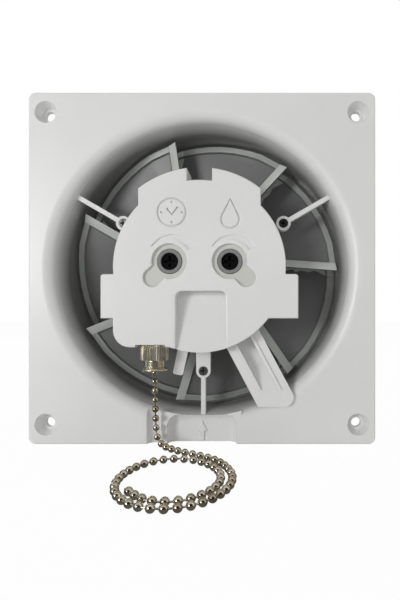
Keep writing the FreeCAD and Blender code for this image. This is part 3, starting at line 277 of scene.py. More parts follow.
def weld(piece, gap=WELD_GAP):
    """Merge points of a mesh that lie on one another."""
    edit_all(piece)
    bpy.ops.mesh.remove_doubles(threshold=gap)
    bpy.ops.object.mode_set(mode="OBJECT")
    return piece


def face_outwards(piece):
    """Turn the faces of a closed mesh outwards."""
    edit_all(piece)
    bpy.ops.mesh.normals_make_consistent(inside=False)
    bpy.ops.object.mode_set(mode="OBJECT")
    return piece


print("meshes are smoothed up to %d degrees, round ones up to %d" % (SMOOTH_ANGLE, ROUND_SMOOTH_ANGLE))

# %% [markdown]
# Two shapes come up again and again: a flat solid with a given outline, and a tube along points. A tube could
# be extruded ring by ring, but a curve with a round section does it in one step and keeps its thickness.

# %% Flat solids and tubes


def flat_solid(name, points, level, depth):
    """Solid from an outline in X and Z, as deep in front of a level as behind it."""
    mesh = bpy.data.meshes.new(name)
    mesh.from_pydata([(x, level, z) for x, z in points], [], [range(len(points))])
    solid = bpy.data.objects.new(name, mesh)
    scene.collection.objects.link(solid)
    return face_outwards(apply_modifier(solid, "SOLIDIFY", thickness=2 * depth, offset=0))


def tube(name, points, radius, cyclic=False, resolution=0):
    """Mesh of a closed tube along points."""
    curve, spline = curve_along(name, "POLY", points)
    spline.use_cyclic_u = cyclic
    curve.bevel_depth = radius
    curve.bevel_resolution = resolution
    curve.use_fill_caps = True
    holder = bpy.data.objects.new(name, curve)
    scene.collection.objects.link(holder)
    hold(holder)
    bpy.ops.object.convert(target="MESH")
    return face_outwards(weld(bpy.context.object))


def delete(*objects):
    """Remove helper objects with their meshes."""
    for obj in objects:
        data = obj.data
        bpy.data.objects.remove(obj)
        if data.users == 0:
            bpy.data.meshes.remove(data)


print("shapes ready")

# %% [markdown]
# A ball chain is a row of hollow beads, each pressed round the ends of two short pins. An array along a curve
# would bend the beads, so one bead with its pin is modelled from a sphere whose top cap is drawn out, and a
# copy is set at each pitch along the line. In the end all copies are joined.

# %% Ball chain
BEAD_RADIUS = 0.0015
BEAD_PITCH = 0.0039
FIRST_BEAD = 0.0036
BEAD_SEGMENTS = 16
BEAD_RINGS = 12
CAP_SHARE = 0.94
PIN_INSET = 0.00006
PIN_OVERLAP_SHARE = 1.7


def model_bead():
    """One bead along Z with the pin that leads to the next bead."""
    bpy.ops.object.select_all(action="DESELECT")
    bpy.ops.mesh.primitive_uv_sphere_add(segments=BEAD_SEGMENTS, ring_count=BEAD_RINGS, radius=BEAD_RADIUS)
    bead = new_piece("bead")
    select_faces(bead, lambda face: face.center.z > CAP_SHARE * BEAD_RADIUS)
    bpy.ops.mesh.inset(thickness=PIN_INSET)
    pin = (0, 0, BEAD_PITCH - PIN_OVERLAP_SHARE * BEAD_RADIUS)
    bpy.ops.mesh.extrude_region_move(TRANSFORM_OT_translate={"value": pin})
    bpy.ops.object.mode_set(mode="OBJECT")
    return bead


def places_along(line, pitch):
    """Places and directions at even steps along a line."""
    found, passed, due = [], 0.0, FIRST_BEAD
    for start, end in zip(line, line[1:]):
        step = (end - start).length
        while step > 0 and due <= passed + step:
            found.append((start.lerp(end, (due - passed) / step), (end - start).normalized()))
            due += pitch
        passed += step
    return found


def string_beads():
    """Copies of the bead along the chain's line, joined to one piece."""
    bead = model_bead()
    copies = []
    for place, direction in places_along(chain_line, BEAD_PITCH):
        copy = bead.copy()
        copy.data = bead.data.copy()
        turn = Vector((0, 0, 1)).rotation_difference(direction).to_matrix().to_4x4()
        copy.data.transform(Matrix.Translation(place) @ turn)
        scene.collection.objects.link(copy)
        copies.append(copy)
    delete(bead)
    join(copies[0], copies[1:])
    chain = new_piece("pull_chain")
    print("chain of", len(copies), "beads")
    return smooth(chain, ROUND_SMOOTH_ANGLE)


pull_chain = string_beads()
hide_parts("chain_drop", "chain_coil")
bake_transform(pull_chain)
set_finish(pull_chain, "nickel_brass")

# %% [markdown]
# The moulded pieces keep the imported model's shape. Real mouldings have no knife edges, though, and a soft
# edge is what catches the light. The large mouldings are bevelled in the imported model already, so a merged
# copy of each only needs smooth shading. For the small pieces the copy's flat facets are joined first, and a
# small bevel rounds every sharp edge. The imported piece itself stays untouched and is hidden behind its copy.

# %% Copies with soft edges
SHARP_ANGLE = math.radians(32)
FLAT_ANGLE = math.radians(0.4)
COPY_GAP = 0.000002


def merged_copy(node, name, join_facets=True):
    """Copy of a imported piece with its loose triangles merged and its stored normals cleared."""
    copy = bpy.data.objects.new(name, frame["nodes"][node].data.copy())
    copy.data.name = name
    copy.data.materials.clear()
    scene.collection.objects.link(copy)
    weld(copy, COPY_GAP)
    if join_facets:
        edit_all(copy)
        bpy.ops.mesh.dissolve_limited(angle_limit=FLAT_ANGLE)
        bpy.ops.object.mode_set(mode="OBJECT")
    bpy.ops.mesh.customdata_custom_splitnormals_clear()
    return copy


def soften(piece, edge, segments=2):
    """Round the sharp edges of a piece."""
    apply_modifier(piece, "BEVEL", width=edge, segments=segments, limit_method="ANGLE",
                   angle_limit=SHARP_ANGLE, use_clamp_overlap=False, miter_outer="MITER_ARC")
    return smooth(piece)


def soft_copy(node, name, edge, segments=2):
    """Copy of a small piece with its sharp edges rounded."""
    return soften(merged_copy(node, name), edge, segments)


def plain_copy(node, name):
    """Smoothly shaded copy of a piece that has its bevels already."""
    return smooth(merged_copy(node, name, False))


slots = {part["node"]: part["material_slot"] for part in frame["record"]["subparts"]}


def stand_in(piece, node, body):
    """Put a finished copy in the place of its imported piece."""
    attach(piece, body)
    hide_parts(node)
    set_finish(piece, slots[node])
    print("%-18s %6d faces" % (piece.name, len(piece.data.polygons)))
    return piece


print("slots:", sorted(set(slots.values())))

# %% [markdown]
# The mouldings, the impeller, the metal parts of the switch, the screws and the two dials now get their
# copies. One width of bevel for all would be simpler, but it would swallow the knurl of the nut, so each
# kind of small piece has its own.

# %% Mouldings, screws and dials
NUT_EDGE = 0.00006
BUSH_EDGE = 0.0001
SCREW_EDGE = 0.00012
RING_EDGE = 0.00025
KNOB_EDGE = 0.0002
DIAL_PIECES = [
    ("timer_trimmer", "timer_ring", RING_EDGE, "root"),
    ("humidity_trimmer", "humid_ring", RING_EDGE, "root"),
    ("timer_dial", "timer_knob", KNOB_EDGE, "timer_knob"),
    ("humidity_dial", "humid_knob", KNOB_EDGE, "humidity_knob"),
]

stand_in(plain_copy("control_box_base", "box_base"), "control_box_base", "root")
stand_in(plain_copy("cable_channel", "wire_channel"), "cable_channel", "root")
impeller = stand_in(plain_copy("impeller", "fan_impeller"), "impeller", "fan")
nut = stand_in(soft_copy("bush_nut", "knurled_nut", NUT_EDGE, 1), "bush_nut", "root")
bush = stand_in(soft_copy("switch_bush", "chain_bush", BUSH_EDGE), "switch_bush", "root")
screws = stand_in(soft_copy("motor_screws", "strut_screws", SCREW_EDGE), "motor_screws", "root")
for node, name, edge, body in DIAL_PIECES:
    stand_in(soft_copy(node, name, edge), node, body)

# %% [markdown]
# The imported model has a plain sleeve for the spring of the pull switch. Here it becomes a coil: the first and
# the last turn lie flat and the turns between rise evenly. It could be turned with a Screw modifier, but a
# tube along points leaves the pitch free.

# %% Spring of the switch
SPRING_WIRE = 0.0007
SPRING_TURNS = 6
SPRING_STEPS = 20
WIRE_ROUNDNESS = 2


def coil_spring(node):
    """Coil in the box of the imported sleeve, with flat end turns."""
    low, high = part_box(node)
    middle = (low + high) / 2
    reach = (high.x - low.x - SPRING_WIRE) / 2
    rise = high.z - low.z - SPRING_WIRE
    points = []
    for i in range(SPRING_TURNS * SPRING_STEPS + 1):
        turns = i / SPRING_STEPS
        share = min(max((turns - 1) / (SPRING_TURNS - 2), 0), 1)
        angle = math.tau * turns
        points.append((middle.x + reach * math.cos(angle), middle.y + reach * math.sin(angle),
                       low.z + SPRING_WIRE / 2 + rise * share))
    wire = tube("return_spring", points, SPRING_WIRE / 2, resolution=WIRE_ROUNDNESS)
    return smooth(wire, ROUND_SMOOTH_ANGLE)


spring = stand_in(coil_spring("switch_spring"), "switch_spring", "root")
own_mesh(spring)

# %% [markdown]
# The housing carries one raised sign: an arrow on the floor of the lower pocket that points up into the fan.
# A bump would vanish from the side, so the arrow is a bevelled solid that is joined to the housing.

# %% Housing with its arrow
POCKET_FLOOR = -0.0020
ARROW_RISE = 0.0009
ARROW_EDGE = 0.0005
ARROW_SEGMENTS = 3
ARROW = [(-0.0004, -0.0664), (-0.0028, -0.0714), (-0.0012, -0.0714), (-0.0012, -0.0757),
         (0.0006, -0.0757), (0.0006, -0.0714), (0.0019, -0.0714)]


def raise_arrow(piece):
    """Join an arrow with rounded edges to the housing."""
    arrow = flat_solid("arrow", ARROW, POCKET_FLOOR, ARROW_RISE)
    apply_modifier(arrow, "BEVEL", width=ARROW_EDGE, segments=ARROW_SEGMENTS, limit_method="ANGLE",
                   angle_limit=SHARP_ANGLE)
    return join(piece, [arrow])


housing = stand_in(smooth(raise_arrow(merged_copy("housing", "fan_housing", False))), "housing", "root")

# %% [markdown]
# The lid carries two engraved signs, a clock for the run-on timer and a drop for humidity. A picture of them
# could be laid on, but a real groove catches the light from any side. Each groove is cut by two bars of
# diamond section, half in the face: a shallow one for its soft lips and a deep one. The bars are curves made
# into meshes, which a Boolean takes out of the lid later.

# %% Cutters for the signs
LID_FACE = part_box("control_box_lid")[0].y
LIP = (0.00070, 0.00035)
CORE = (0.00046, 0.00100)
CLOCK = (-0.0114, 0.0223)
CLOCK_RADIUS = 0.0058
CLOCK_STEPS = 48
MARK_REACHES = (0.0038, 0.0046)
HANDS = ((-0.0020, 0.0015), (0, -0.0010), (0.0024, 0.0021))
DROP = (0.0127, 0.0217)
BELLY_SINK = 0.0022
BELLY_RADIUS = 0.0037
BELLY_ANGLES = (-205, 25)
BELLY_STEPS = 28
TIP_RISE = 0.0062


def bar(name, points, cyclic=False, section=LIP):
    """Bar along points in the lid's face, of a diamond section with a half width and a half depth."""
    half_width, half_depth = section
    piece = tube(name, [(x, LID_FACE, z) for x, z in points], half_width, cyclic)
    edit_all(piece)
    bpy.ops.transform.resize(value=(1, half_depth / half_width, 1), center_override=(0, LID_FACE, 0))
    bpy.ops.object.mode_set(mode="OBJECT")
    return piece


def groove(name, points, cyclic=False):
    """Two bars for a groove with soft lips."""
    return [bar(name + "_lip", points, cyclic), bar(name + "_core", points, cyclic, CORE)]


def around(centre, radius, start, end, count):
    """Points on an arc in the lid's face."""
    turns = [math.radians(start + (end - start) * i / count) for i in range(count + 1)]
    return [(centre[0] + radius * math.cos(t), centre[1] + radius * math.sin(t)) for t in turns]


def clock_cutters():
    """Ring, four marks and two hands."""
    last = 360 - 360 / CLOCK_STEPS
    cutters = groove("clock_ring", around(CLOCK, CLOCK_RADIUS, 0, last, CLOCK_STEPS - 1), True)
    x, z = CLOCK
    for i, (across, up) in enumerate(((0, 1), (1, 0), (0, -1), (-1, 0))):
        ends = [(x + across * reach, z + up * reach) for reach in MARK_REACHES]
        cutters += groove("clock_mark_%d" % i, ends)
    hands = [(x + across, z + up) for across, up in HANDS]
    return cutters + groove("clock_hands", hands)


def drop_cutters():
    """Outline of a falling drop: a round belly drawn up to a point."""
    x, z = DROP
    belly = around((x, z - BELLY_SINK), BELLY_RADIUS, *BELLY_ANGLES, BELLY_STEPS)
    tip = (x, z + TIP_RISE)
    return groove("drop_line", belly + [tip], True)


print("lid face at y = %.4f" % LID_FACE)

# %% [markdown]
# Over each dial a flat arc swells to show which way is more, and a straight slot runs from each dial's well
# to a round end. Both are flat solids that will be cut out of the face. A cut leaves a knife edge, which a
# bevel could round only where the mesh is clean, so shallow bars along the edges take it away instead.

# %% Swelling arcs and slots
ARC_DEPTH = 0.0008
ARC_TIP = 0.0002
ARC_INNER = 0.00935
ARC_SWELL = 0.00275
ARC_ANGLES = (140, 31)
ARC_STEPS = 24
SLOT_END = (0.0069, -0.0067)
SLOT_HALF_WIDTH = 0.00388
SLOT_START = 0.005
SLOT_DEPTH = 0.00149


def ring_centre(node):
    """Middle of a trimmer in the lid's face."""
    low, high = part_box(node)
    middle = (low + high) / 2
    return middle.x, middle.z


def arc_cutters(node):
    """Flat arc that widens from nothing, as a solid cut into the face, and the bar round its edge."""
    centre = ring_centre(node)
    inner = around(centre, ARC_INNER, *ARC_ANGLES, ARC_STEPS)
    outer = []
    for i, (x, z) in enumerate(inner):
        share = 1 + (ARC_TIP + ARC_SWELL * i / ARC_STEPS) / ARC_INNER
        outer.append((centre[0] + (x - centre[0]) * share, centre[1] + (z - centre[1]) * share))
    outline = inner + outer[::-1]
    return [flat_solid("arc_" + node, outline, LID_FACE, ARC_DEPTH), bar("arc_edge_" + node, outline, True)]


def slot_cutters(node, side):
    """Straight slot from a dial's well to its round end, and the bars along its two edges."""
    centre = Vector(ring_centre(node))
    out = Vector((side * SLOT_END[0], SLOT_END[1]))
    along = out.normalized()
    across = Vector((-along.y, along.x)) * SLOT_HALF_WIDTH
    start, end = centre + along * SLOT_START, centre + out
    outline = [start + across, end + across, end - across, start - across]
    cutters = [flat_solid("slot_" + node, outline, LID_FACE, SLOT_DEPTH)]
    for i in (0, 2):
        cutters.append(bar("slot_edge_%s_%d" % (node, i), outline[i:i + 2]))
    return cutters


print("arcs and slots round", [tuple(round(c * 1000, 1) for c in ring_centre(node))
                               for node in ("timer_trimmer", "humidity_trimmer")])

# %% [markdown]
# Now the cutters, with a bar round the ramp and a faint line over the left lobe, are taken out of the lid one
# by one. One cut with all of them joined would be shorter, but where cutters cross each other it can fail.
# Smooth shading then runs over the new lips, while the face itself counts as the stronger one and stays flat.

# %% Engraved lid
RAMP_SIDES = (-0.0100, 0.0110)
RAMP_TOP = -0.0101
RAMP_CORNER = 0.0027
RAMP_CORNER_STEPS = 8
RAMP_FOOT = -0.0380
LOBE_LINE = (0.0348, 184, 236)
LOBE_STEPS = 30
LOBE_SECTION = (0.0002, 0.0001)
FRONT_FACE_LIMIT = -0.99
LIP_SMOOTH_ANGLE = 50


def ramp_cutter():
    """Bar along the edge of the ramp: up its left side, across its rounded top and down its right side."""
    left, right = RAMP_SIDES
    level = RAMP_TOP - RAMP_CORNER
    corners = around((left + RAMP_CORNER, level), RAMP_CORNER, 180, 90, RAMP_CORNER_STEPS)
    corners += around((right - RAMP_CORNER, level), RAMP_CORNER, 90, 0, RAMP_CORNER_STEPS)
    return bar("ramp_edge", [(left, RAMP_FOOT)] + corners + [(right, RAMP_FOOT)])


def soft_lips(piece):
    """Smooth shading over lips and bevels that leaves the front face itself flat."""
    select_faces(piece, lambda face: face.normal.y < FRONT_FACE_LIMIT)
    bpy.ops.mesh.mod_weighted_strength(set=True, face_strength="STRONG")
    hold(piece)
    bpy.ops.object.shade_smooth_by_angle(angle=math.radians(LIP_SMOOTH_ANGLE))
    return apply_modifier(piece, "WEIGHTED_NORMAL", keep_sharp=True, use_face_influence=True)


def engrave(piece, cutters):
    """Cut solids out of a piece one by one."""
    for cutter in cutters:
        apply_modifier(piece, "BOOLEAN", operation="DIFFERENCE", solver="EXACT", object=cutter)
    delete(*cutters)
    return weld(piece)


def engraved_lid():
    """Lid with its signs, arcs, slots, soft edges and the faint line of the round box over its left lobe."""
    lid = merged_copy("control_box_lid", "box_lid", False)
    cutters = clock_cutters() + drop_cutters() + [ramp_cutter()]
    for node, side in (("timer_trimmer", -1), ("humidity_trimmer", 1)):
        cutters += arc_cutters(node) + slot_cutters(node, side)
    radius, start, end = LOBE_LINE
    cutters.append(bar("lobe_line", around((0, 0), radius, start, end, LOBE_STEPS), False, LOBE_SECTION))
    return soft_lips(engrave(lid, cutters))


lid = stand_in(engraved_lid(), "control_box_lid", "root")

# %% [markdown]
# Finishes. All plastics here come from a polished or lightly grained mould, so they share one effect: a fine
# grain that lifts the surface a little, and a broad cloudiness that varies tone and gloss. It could be built
# again in every material, but as a node group it is built once. The metals share a second group, a patchy
# tarnish.

# %% Shared effects
GRAIN_SCALE = 3500
CLOUD_SCALE = 25
PATCH_SCALE = 300
TARNISH_EDGES = (0.38, 0.68)
FINE_SCALE = 6000


def group_with(name, inputs, outputs):
    """Empty shader node group with named sockets, and its two end nodes."""
    group = bpy.data.node_groups.new(name, "ShaderNodeTree")
    for label, kind, value in inputs:
        socket = group.interface.new_socket(label, in_out="INPUT", socket_type=kind)
        if value is not None:
            socket.default_value = value
    for label, kind in outputs:
        group.interface.new_socket(label, in_out="OUTPUT", socket_type=kind)
    return group, group.nodes.new("NodeGroupInput"), group.nodes.new("NodeGroupOutput")


def feed(tree, value, socket):
    """Set a socket to a number, or link it to another socket."""
    if isinstance(value, (int, float)):
        socket.default_value = value
    else:
        tree.links.new(value, socket)


def noise(tree, vector, scale, detail):
    """Noise texture in a node tree, with its scale linked or set."""
    node = tree.nodes.new("ShaderNodeTexNoise")
    node.inputs["Detail"].default_value = detail
    tree.links.new(vector, node.inputs["Vector"])
    feed(tree, scale, node.inputs["Scale"])
    return node.outputs["Fac"]


def mould_group():
    """Fine grain for the height and a cloudy value for tone and gloss."""
    inputs = [("Vector", "NodeSocketVector", None), ("Grain Scale", "NodeSocketFloat", GRAIN_SCALE),
              ("Cloud Scale", "NodeSocketFloat", CLOUD_SCALE)]
    outputs = [("Height", "NodeSocketFloat"), ("Cloud", "NodeSocketFloat")]
    group, start, end = group_with("moulded skin", inputs, outputs)
    grain = noise(group, start.outputs["Vector"], start.outputs["Grain Scale"], detail=2)
    cloud = noise(group, start.outputs["Vector"], start.outputs["Cloud Scale"], detail=4)
    group.links.new(grain, end.inputs["Height"])
    group.links.new(cloud, end.inputs["Cloud"])
    return group


def tarnish_group():
    """Patchy mask with soft edges for aged or brushed metal."""
    inputs = [("Vector", "NodeSocketVector", None), ("Patch Scale", "NodeSocketFloat", PATCH_SCALE)]
    outputs = [("Tarnish", "NodeSocketFloat"), ("Height", "NodeSocketFloat")]
    group, start, end = group_with("patchy tarnish", inputs, outputs)
    patch = noise(group, start.outputs["Vector"], start.outputs["Patch Scale"], detail=5)
    ramp = group.nodes.new("ShaderNodeValToRGB")
    for stop, position in zip(ramp.color_ramp.elements, TARNISH_EDGES):
        stop.position = position
    group.links.new(patch, ramp.inputs["Fac"])
    fine = noise(group, start.outputs["Vector"], FINE_SCALE, detail=2)
    group.links.new(ramp.outputs["Color"], end.inputs["Tarnish"])
    group.links.new(fine, end.inputs["Height"])
    return group


MOULDED_SKIN = mould_group()
PATCHY_TARNISH = tarnish_group()
print("shared effects:", MOULDED_SKIN.name, "and", PATCHY_TARNISH.name)

# %% [markdown]
# A material joins a shared effect to the shader. Each link could be written out in every material, but the
# same few joints come back, so they are helpers: a tone between two colours, a value along a ramp, a
# calculation and a bump.

# %% Joints of a material


def start_material(name):
    """Material with its shader and the object's own coordinates."""
    material = bpy.data.materials.new(name)
    material.use_nodes = True
    tree = material.node_tree
    shader = tree.nodes["Principled BSDF"]
    place = tree.nodes.new("ShaderNodeTexCoord")
    return material, tree, shader, place.outputs["Object"]


def add_effect(tree, group, vector, **values):
    """Place a shared effect in a material with its own values."""
    node = tree.nodes.new("ShaderNodeGroup")
    node.node_tree = group
    tree.links.new(vector, node.inputs["Vector"])
    for label, value in values.items():
        node.inputs[label.replace("_", " ")].default_value = value
    return node


def tone_between(tree, factor, low, high):
    """Colour that varies between two tones."""
    mix = tree.nodes.new("ShaderNodeMix")
    mix.data_type = "RGBA"
    tree.links.new(factor, mix.inputs["Factor"])
    mix.inputs["A"].default_value = (*low, 1)
    mix.inputs["B"].default_value = (*high, 1)
    return mix.outputs["Result"]


def ramp_along(tree, value, span, limits):
    """Value that goes from one limit to the other over a span."""
    node = tree.nodes.new("ShaderNodeMapRange")
    for label, number in zip(("From Min", "From Max", "To Min", "To Max"), (*span, *limits)):
        node.inputs[label].default_value = number
    tree.links.new(value, node.inputs["Value"])
    return node.outputs["Result"]


def math_node(tree, operation, *values):
    """Math node whose inputs are set or linked."""
    node = tree.nodes.new("ShaderNodeMath")
    node.operation = operation
    for value, socket in zip(values, node.inputs):
        feed(tree, value, socket)
    return node.outputs["Value"]


def add_bump(tree, shader, height, strength, distance):
    """Bump from a height."""
    bump = tree.nodes.new("ShaderNodeBump")
    bump.inputs["Strength"].default_value = strength
    bump.inputs["Distance"].default_value = distance
    tree.links.new(height, bump.inputs["Height"])
    tree.links.new(bump.outputs["Normal"], shader.inputs["Normal"])


print("joints ready")

# %% [markdown]
# Three kinds of material are enough for the whole fan: moulded plastic, plastic with painted shade, and
# metal. Single materials would drift apart, so each kind is a function that takes its colours and its gloss.

# %% Kinds of material
GRAIN_HEIGHT = 0.00005
SHADE_CLOUD_SCALE = 60
SHADE_FADED = 0.3
SHADE_PATCHINESS = 0.15
SHADED_DUCT_GRAIN = 0.03
METAL_GRAIN_HEIGHT = 0.00002


def plastic(name, colour, gloss, grain=0.15, spread=0.05, shine=0.5):
    """Moulded plastic: colour, roughness limits, strength of the grain, spread of the tone and shine."""
    material, tree, shader, place = start_material(name)
    shader.inputs["Specular IOR Level"].default_value = shine
    skin = add_effect(tree, MOULDED_SKIN, place)
    low = [max(c * (1 - spread), 0) for c in colour]
    high = [min(c * (1 + spread), 1) for c in colour]
    tree.links.new(tone_between(tree, skin.outputs["Cloud"], low, high), shader.inputs["Base Color"])
    tree.links.new(ramp_along(tree, skin.outputs["Cloud"], (0, 1), gloss), shader.inputs["Roughness"])
    add_bump(tree, shader, skin.outputs["Height"], grain, GRAIN_HEIGHT)
    return material


def painted_shade_plastic(name, lit_tone, shade_tone, spans, gloss):
    """Plastic with patchy painted shade, from a lit tone to a shaded one, that deepens along Y over one span
    and fades over another.
    """
    material, tree, shader, place = start_material(name)
    skin = add_effect(tree, MOULDED_SKIN, place, Cloud_Scale=SHADE_CLOUD_SCALE)
    parts = tree.nodes.new("ShaderNodeSeparateXYZ")
    tree.links.new(place, parts.inputs["Vector"])
    deepening = ramp_along(tree, parts.outputs["Y"], spans[0], (0, 1))
    fading = ramp_along(tree, parts.outputs["Y"], spans[1], (1, SHADE_FADED))
    shade_share = math_node(tree, "MULTIPLY", deepening, fading)
    patchy = math_node(tree, "MULTIPLY_ADD", skin.outputs["Cloud"], SHADE_PATCHINESS, shade_share)
    tree.links.new(tone_between(tree, patchy, lit_tone, shade_tone), shader.inputs["Base Color"])
    tree.links.new(ramp_along(tree, skin.outputs["Cloud"], (0, 1), gloss), shader.inputs["Roughness"])
    add_bump(tree, shader, skin.outputs["Height"], SHADED_DUCT_GRAIN, GRAIN_HEIGHT)
    return material


def metal(name, bright, dull, gloss, patch=PATCH_SCALE, grain=0.1):
    """Metal that goes from bright to dull in patches."""
    material, tree, shader, place = start_material(name)
    shader.inputs["Metallic"].default_value = 1
    age = add_effect(tree, PATCHY_TARNISH, place, Patch_Scale=patch)
    tree.links.new(tone_between(tree, age.outputs["Tarnish"], bright, dull), shader.inputs["Base Color"])
    tree.links.new(ramp_along(tree, age.outputs["Tarnish"], (0, 1), gloss), shader.inputs["Roughness"])
    add_bump(tree, shader, age.outputs["Height"], grain, METAL_GRAIN_HEIGHT)
    return material


print("plastics have a grain of %.0f micrometres" % (GRAIN_HEIGHT * 1000000))

# %% [markdown]
# The finishes themselves. Their colours were tuned until the render came close to the photograph, and the
# hidden pieces have the colours that such parts usually have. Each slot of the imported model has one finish,
# and a few more are for single faces.

# %% Finishes
FINISHES = {
    "white_plastic": plastic("white satin moulding", (0.80, 0.80, 0.79), (0.28, 0.40)),
    "box_plastic": plastic("white box moulding", (0.82, 0.82, 0.81), (0.24, 0.34)),
    "blade_plastic": plastic("grey-green blade gloss", (0.17, 0.175, 0.17), (0.32, 0.42), 0.05, 0.12),
    "trimmer_grey": plastic("grey trimmer moulding", (0.22, 0.225, 0.22), (0.45, 0.60)),
    "black_plastic": plastic("black moulding", (0.003, 0.003, 0.003), (0.50, 0.65), 0.2, 0.3, 0.1),
    "nickel_brass": metal("aged nickel on brass", (0.64, 0.58, 0.46), (0.40, 0.34, 0.24), (0.12, 0.24), 150),
    "screw_steel": metal("dark zinc steel", (0.30, 0.31, 0.30), (0.12, 0.12, 0.12), (0.30, 0.45)),
    "sheet_steel": metal("zinc plated sheet", (0.66, 0.67, 0.68), (0.50, 0.50, 0.50), (0.25, 0.42), 120),
    "core_steel": metal("laminated core steel", (0.30, 0.30, 0.31), (0.20, 0.19, 0.18), (0.40, 0.60), 150),
    "copper_wire": metal("enamelled copper", (0.72, 0.36, 0.20), (0.50, 0.22, 0.10), (0.25, 0.40), 200),
    "bearing_bronze": metal("sintered bronze", (0.55, 0.40, 0.22), (0.40, 0.28, 0.15), (0.45, 0.60), 500),
    "board_green": plastic("green board lacquer", (0.03, 0.18, 0.08), (0.30, 0.45), 0.1, 0.25),
}
# Painted light: paler finishes for the rims and bars on the blades' front edges, where the light falls.
RIM_LIGHT_FINISH = plastic("blade rim with painted light", (0.34, 0.355, 0.335), (0.25, 0.36), 0.05, 0.08)
BAR_LIGHT_FINISH = plastic("blade bar with painted light", (0.56, 0.58, 0.55), (0.25, 0.36), 0.05, 0.08)
WELL_FINISH = plastic("shaded dial well", (0.64, 0.64, 0.60), (0.30, 0.42))
POLISHED_FINISH = metal("polished nickel", (0.90, 0.84, 0.69), (0.70, 0.62, 0.46), (0.16, 0.28), 150)
# Painted shade in the grooves of the knurl.
GROOVE_SHADE_FINISH = metal("painted knurl groove shade", (0.40, 0.35, 0.25), (0.24, 0.20, 0.13), (0.30, 0.45))
# Painted shade in the crosses of the screws.
RECESS_SHADE_FINISH = metal("painted recess shade", (0.05, 0.05, 0.05), (0.02, 0.02, 0.02), (0.50, 0.70))
# Painted shade: the duct wall goes from a lit tone to a dark one towards the blades, in patches.
SHADE_SPANS = ((-0.0020, 0.0060), (0.0300, 0.0700))
DUCT_SHADE_FINISH = painted_shade_plastic("duct gloss with painted shade", (0.74, 0.74, 0.73), (0.18, 0.18, 0.175), SHADE_SPANS,
                            (0.10, 0.18))
print(len(FINISHES), "finishes")

# %% [markdown]
# Every piece takes the finish of its slot. The nut and the bush of the pull switch are brighter than the
# chain, so they are polished. Where faces of one piece differ, they could be cut off as pieces of their own,
# but a second material on some faces leaves the piece whole.

# %% Finishes on the pieces


def paint(piece, finish):
    """Give a whole piece one material."""
    piece.data.materials.clear()
    piece.data.materials.append(finish)


def paint_faces(piece, finish, wanted):
    """Give a second material to the faces that pass a test."""
    piece.data.materials.append(finish)
    index = len(piece.data.materials) - 1
    count = 0
    for face in piece.data.polygons:
        if wanted(face):
            face.material_index = index
            count += 1
    print(piece.name, "has", count, "faces in", finish.name)


for node, obj in frame["nodes"].items():
    paint(obj, FINISHES[slots[node]])
for obj in list(scene.objects):
    if obj.type == "MESH" and "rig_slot" in obj:
        paint(obj, FINISHES[obj["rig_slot"]])
paint(nut, POLISHED_FINISH)
paint(bush, POLISHED_FINISH)
print(len(frame["nodes"]), "packed pieces painted, nut and bush polished")

# %% [markdown]
# The impeller's blades are grey-green, and the bar along each leading edge and the rim at each tip take a
# paler finish: painted light for the light that these front edges catch. They could be picked by hand, but a
# test of place and direction picks them on all blades alike.

# %% Bars and rims of the blades
HUB_RADIUS = 0.0362
TIP_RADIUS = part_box("impeller")[1].z
RIM_WIDTH = 0.0028
RIM_INNER = TIP_RADIUS - RIM_WIDTH
FRONT_FACING = -0.5
BAR_START = (0.0351, 3.2)
BAR_HEADING = -4
BAR_WIDTH = 0.0036
BLADE_COUNT = 7


def radius_of(point):
    """Distance from the fan axis."""
    return math.hypot(point.x, point.z)


def off_bar_line(point, blade):
    """Distance of a point from the line along a blade's leading edge, in the direction of the blade."""
    turn = math.tau / BLADE_COUNT * blade
    reach, angle = BAR_START
    start = Vector((math.cos(turn + math.radians(angle)), math.sin(turn + math.radians(angle)))) * reach
    heading = turn + math.radians(BAR_HEADING)
    out = Vector((point.x, point.z)) - start
    if out.dot(Vector((math.cos(heading), math.sin(heading)))) < 0:
        return math.inf
    return out.dot(Vector((-math.sin(heading), math.cos(heading))))


def is_bar(face):
    """Front faces of the bar along each leading edge."""
    if radius_of(face.center) < HUB_RADIUS or face.normal.y > FRONT_FACING:
        return False
    return any(0 <= off_bar_line(face.center, blade) < BAR_WIDTH for blade in range(BLADE_COUNT))


def is_rim(face):
    """Front faces of the raised rim at the tips."""
    return radius_of(face.center) > RIM_INNER and face.normal.y < FRONT_FACING and not is_bar(face)


# Painted light on the rims and bars of the blades.
paint_faces(impeller, RIM_LIGHT_FINISH, is_rim)
paint_faces(impeller, BAR_LIGHT_FINISH, is_bar)

# %% [markdown]
# The duct's inner wall takes painted shade that deepens towards the blades, and the crosses of the screws and
# the grooves of the nut's knurl take painted shade too. A painted picture could do this as well, but it would
# have to be unwrapped onto each piece, so whole faces are darkened by their place.

# %% Duct wall, screws and nut
DUCT_RADII = (0.055, 0.0641)
THROAT_DEPTH = -0.0017
INWARD_SHARE = -0.5
SCREW_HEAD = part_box("motor_screws")[0].y
RECESS_DEPTH = 0.0002
FLAT_FACING = -0.9
NUT_LOW, NUT_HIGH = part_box("bush_nut")
NUT_GROOVE_SHARES = (0.85, 0.96)
UPRIGHT_LIMIT = 0.3


def is_duct_wall(face):
    """Faces of the duct that look at the fan axis."""
    reach = radius_of(face.center)
    inward = (face.normal.x * face.center.x + face.normal.z * face.center.z) < INWARD_SHARE * reach
    return inward and DUCT_RADII[0] < reach < DUCT_RADII[1] and face.center.y > THROAT_DEPTH


def is_recess(face):
    """Faces inside the cross of a screw's head."""
    return face.center.y > SCREW_HEAD + RECESS_DEPTH and face.normal.y < FLAT_FACING


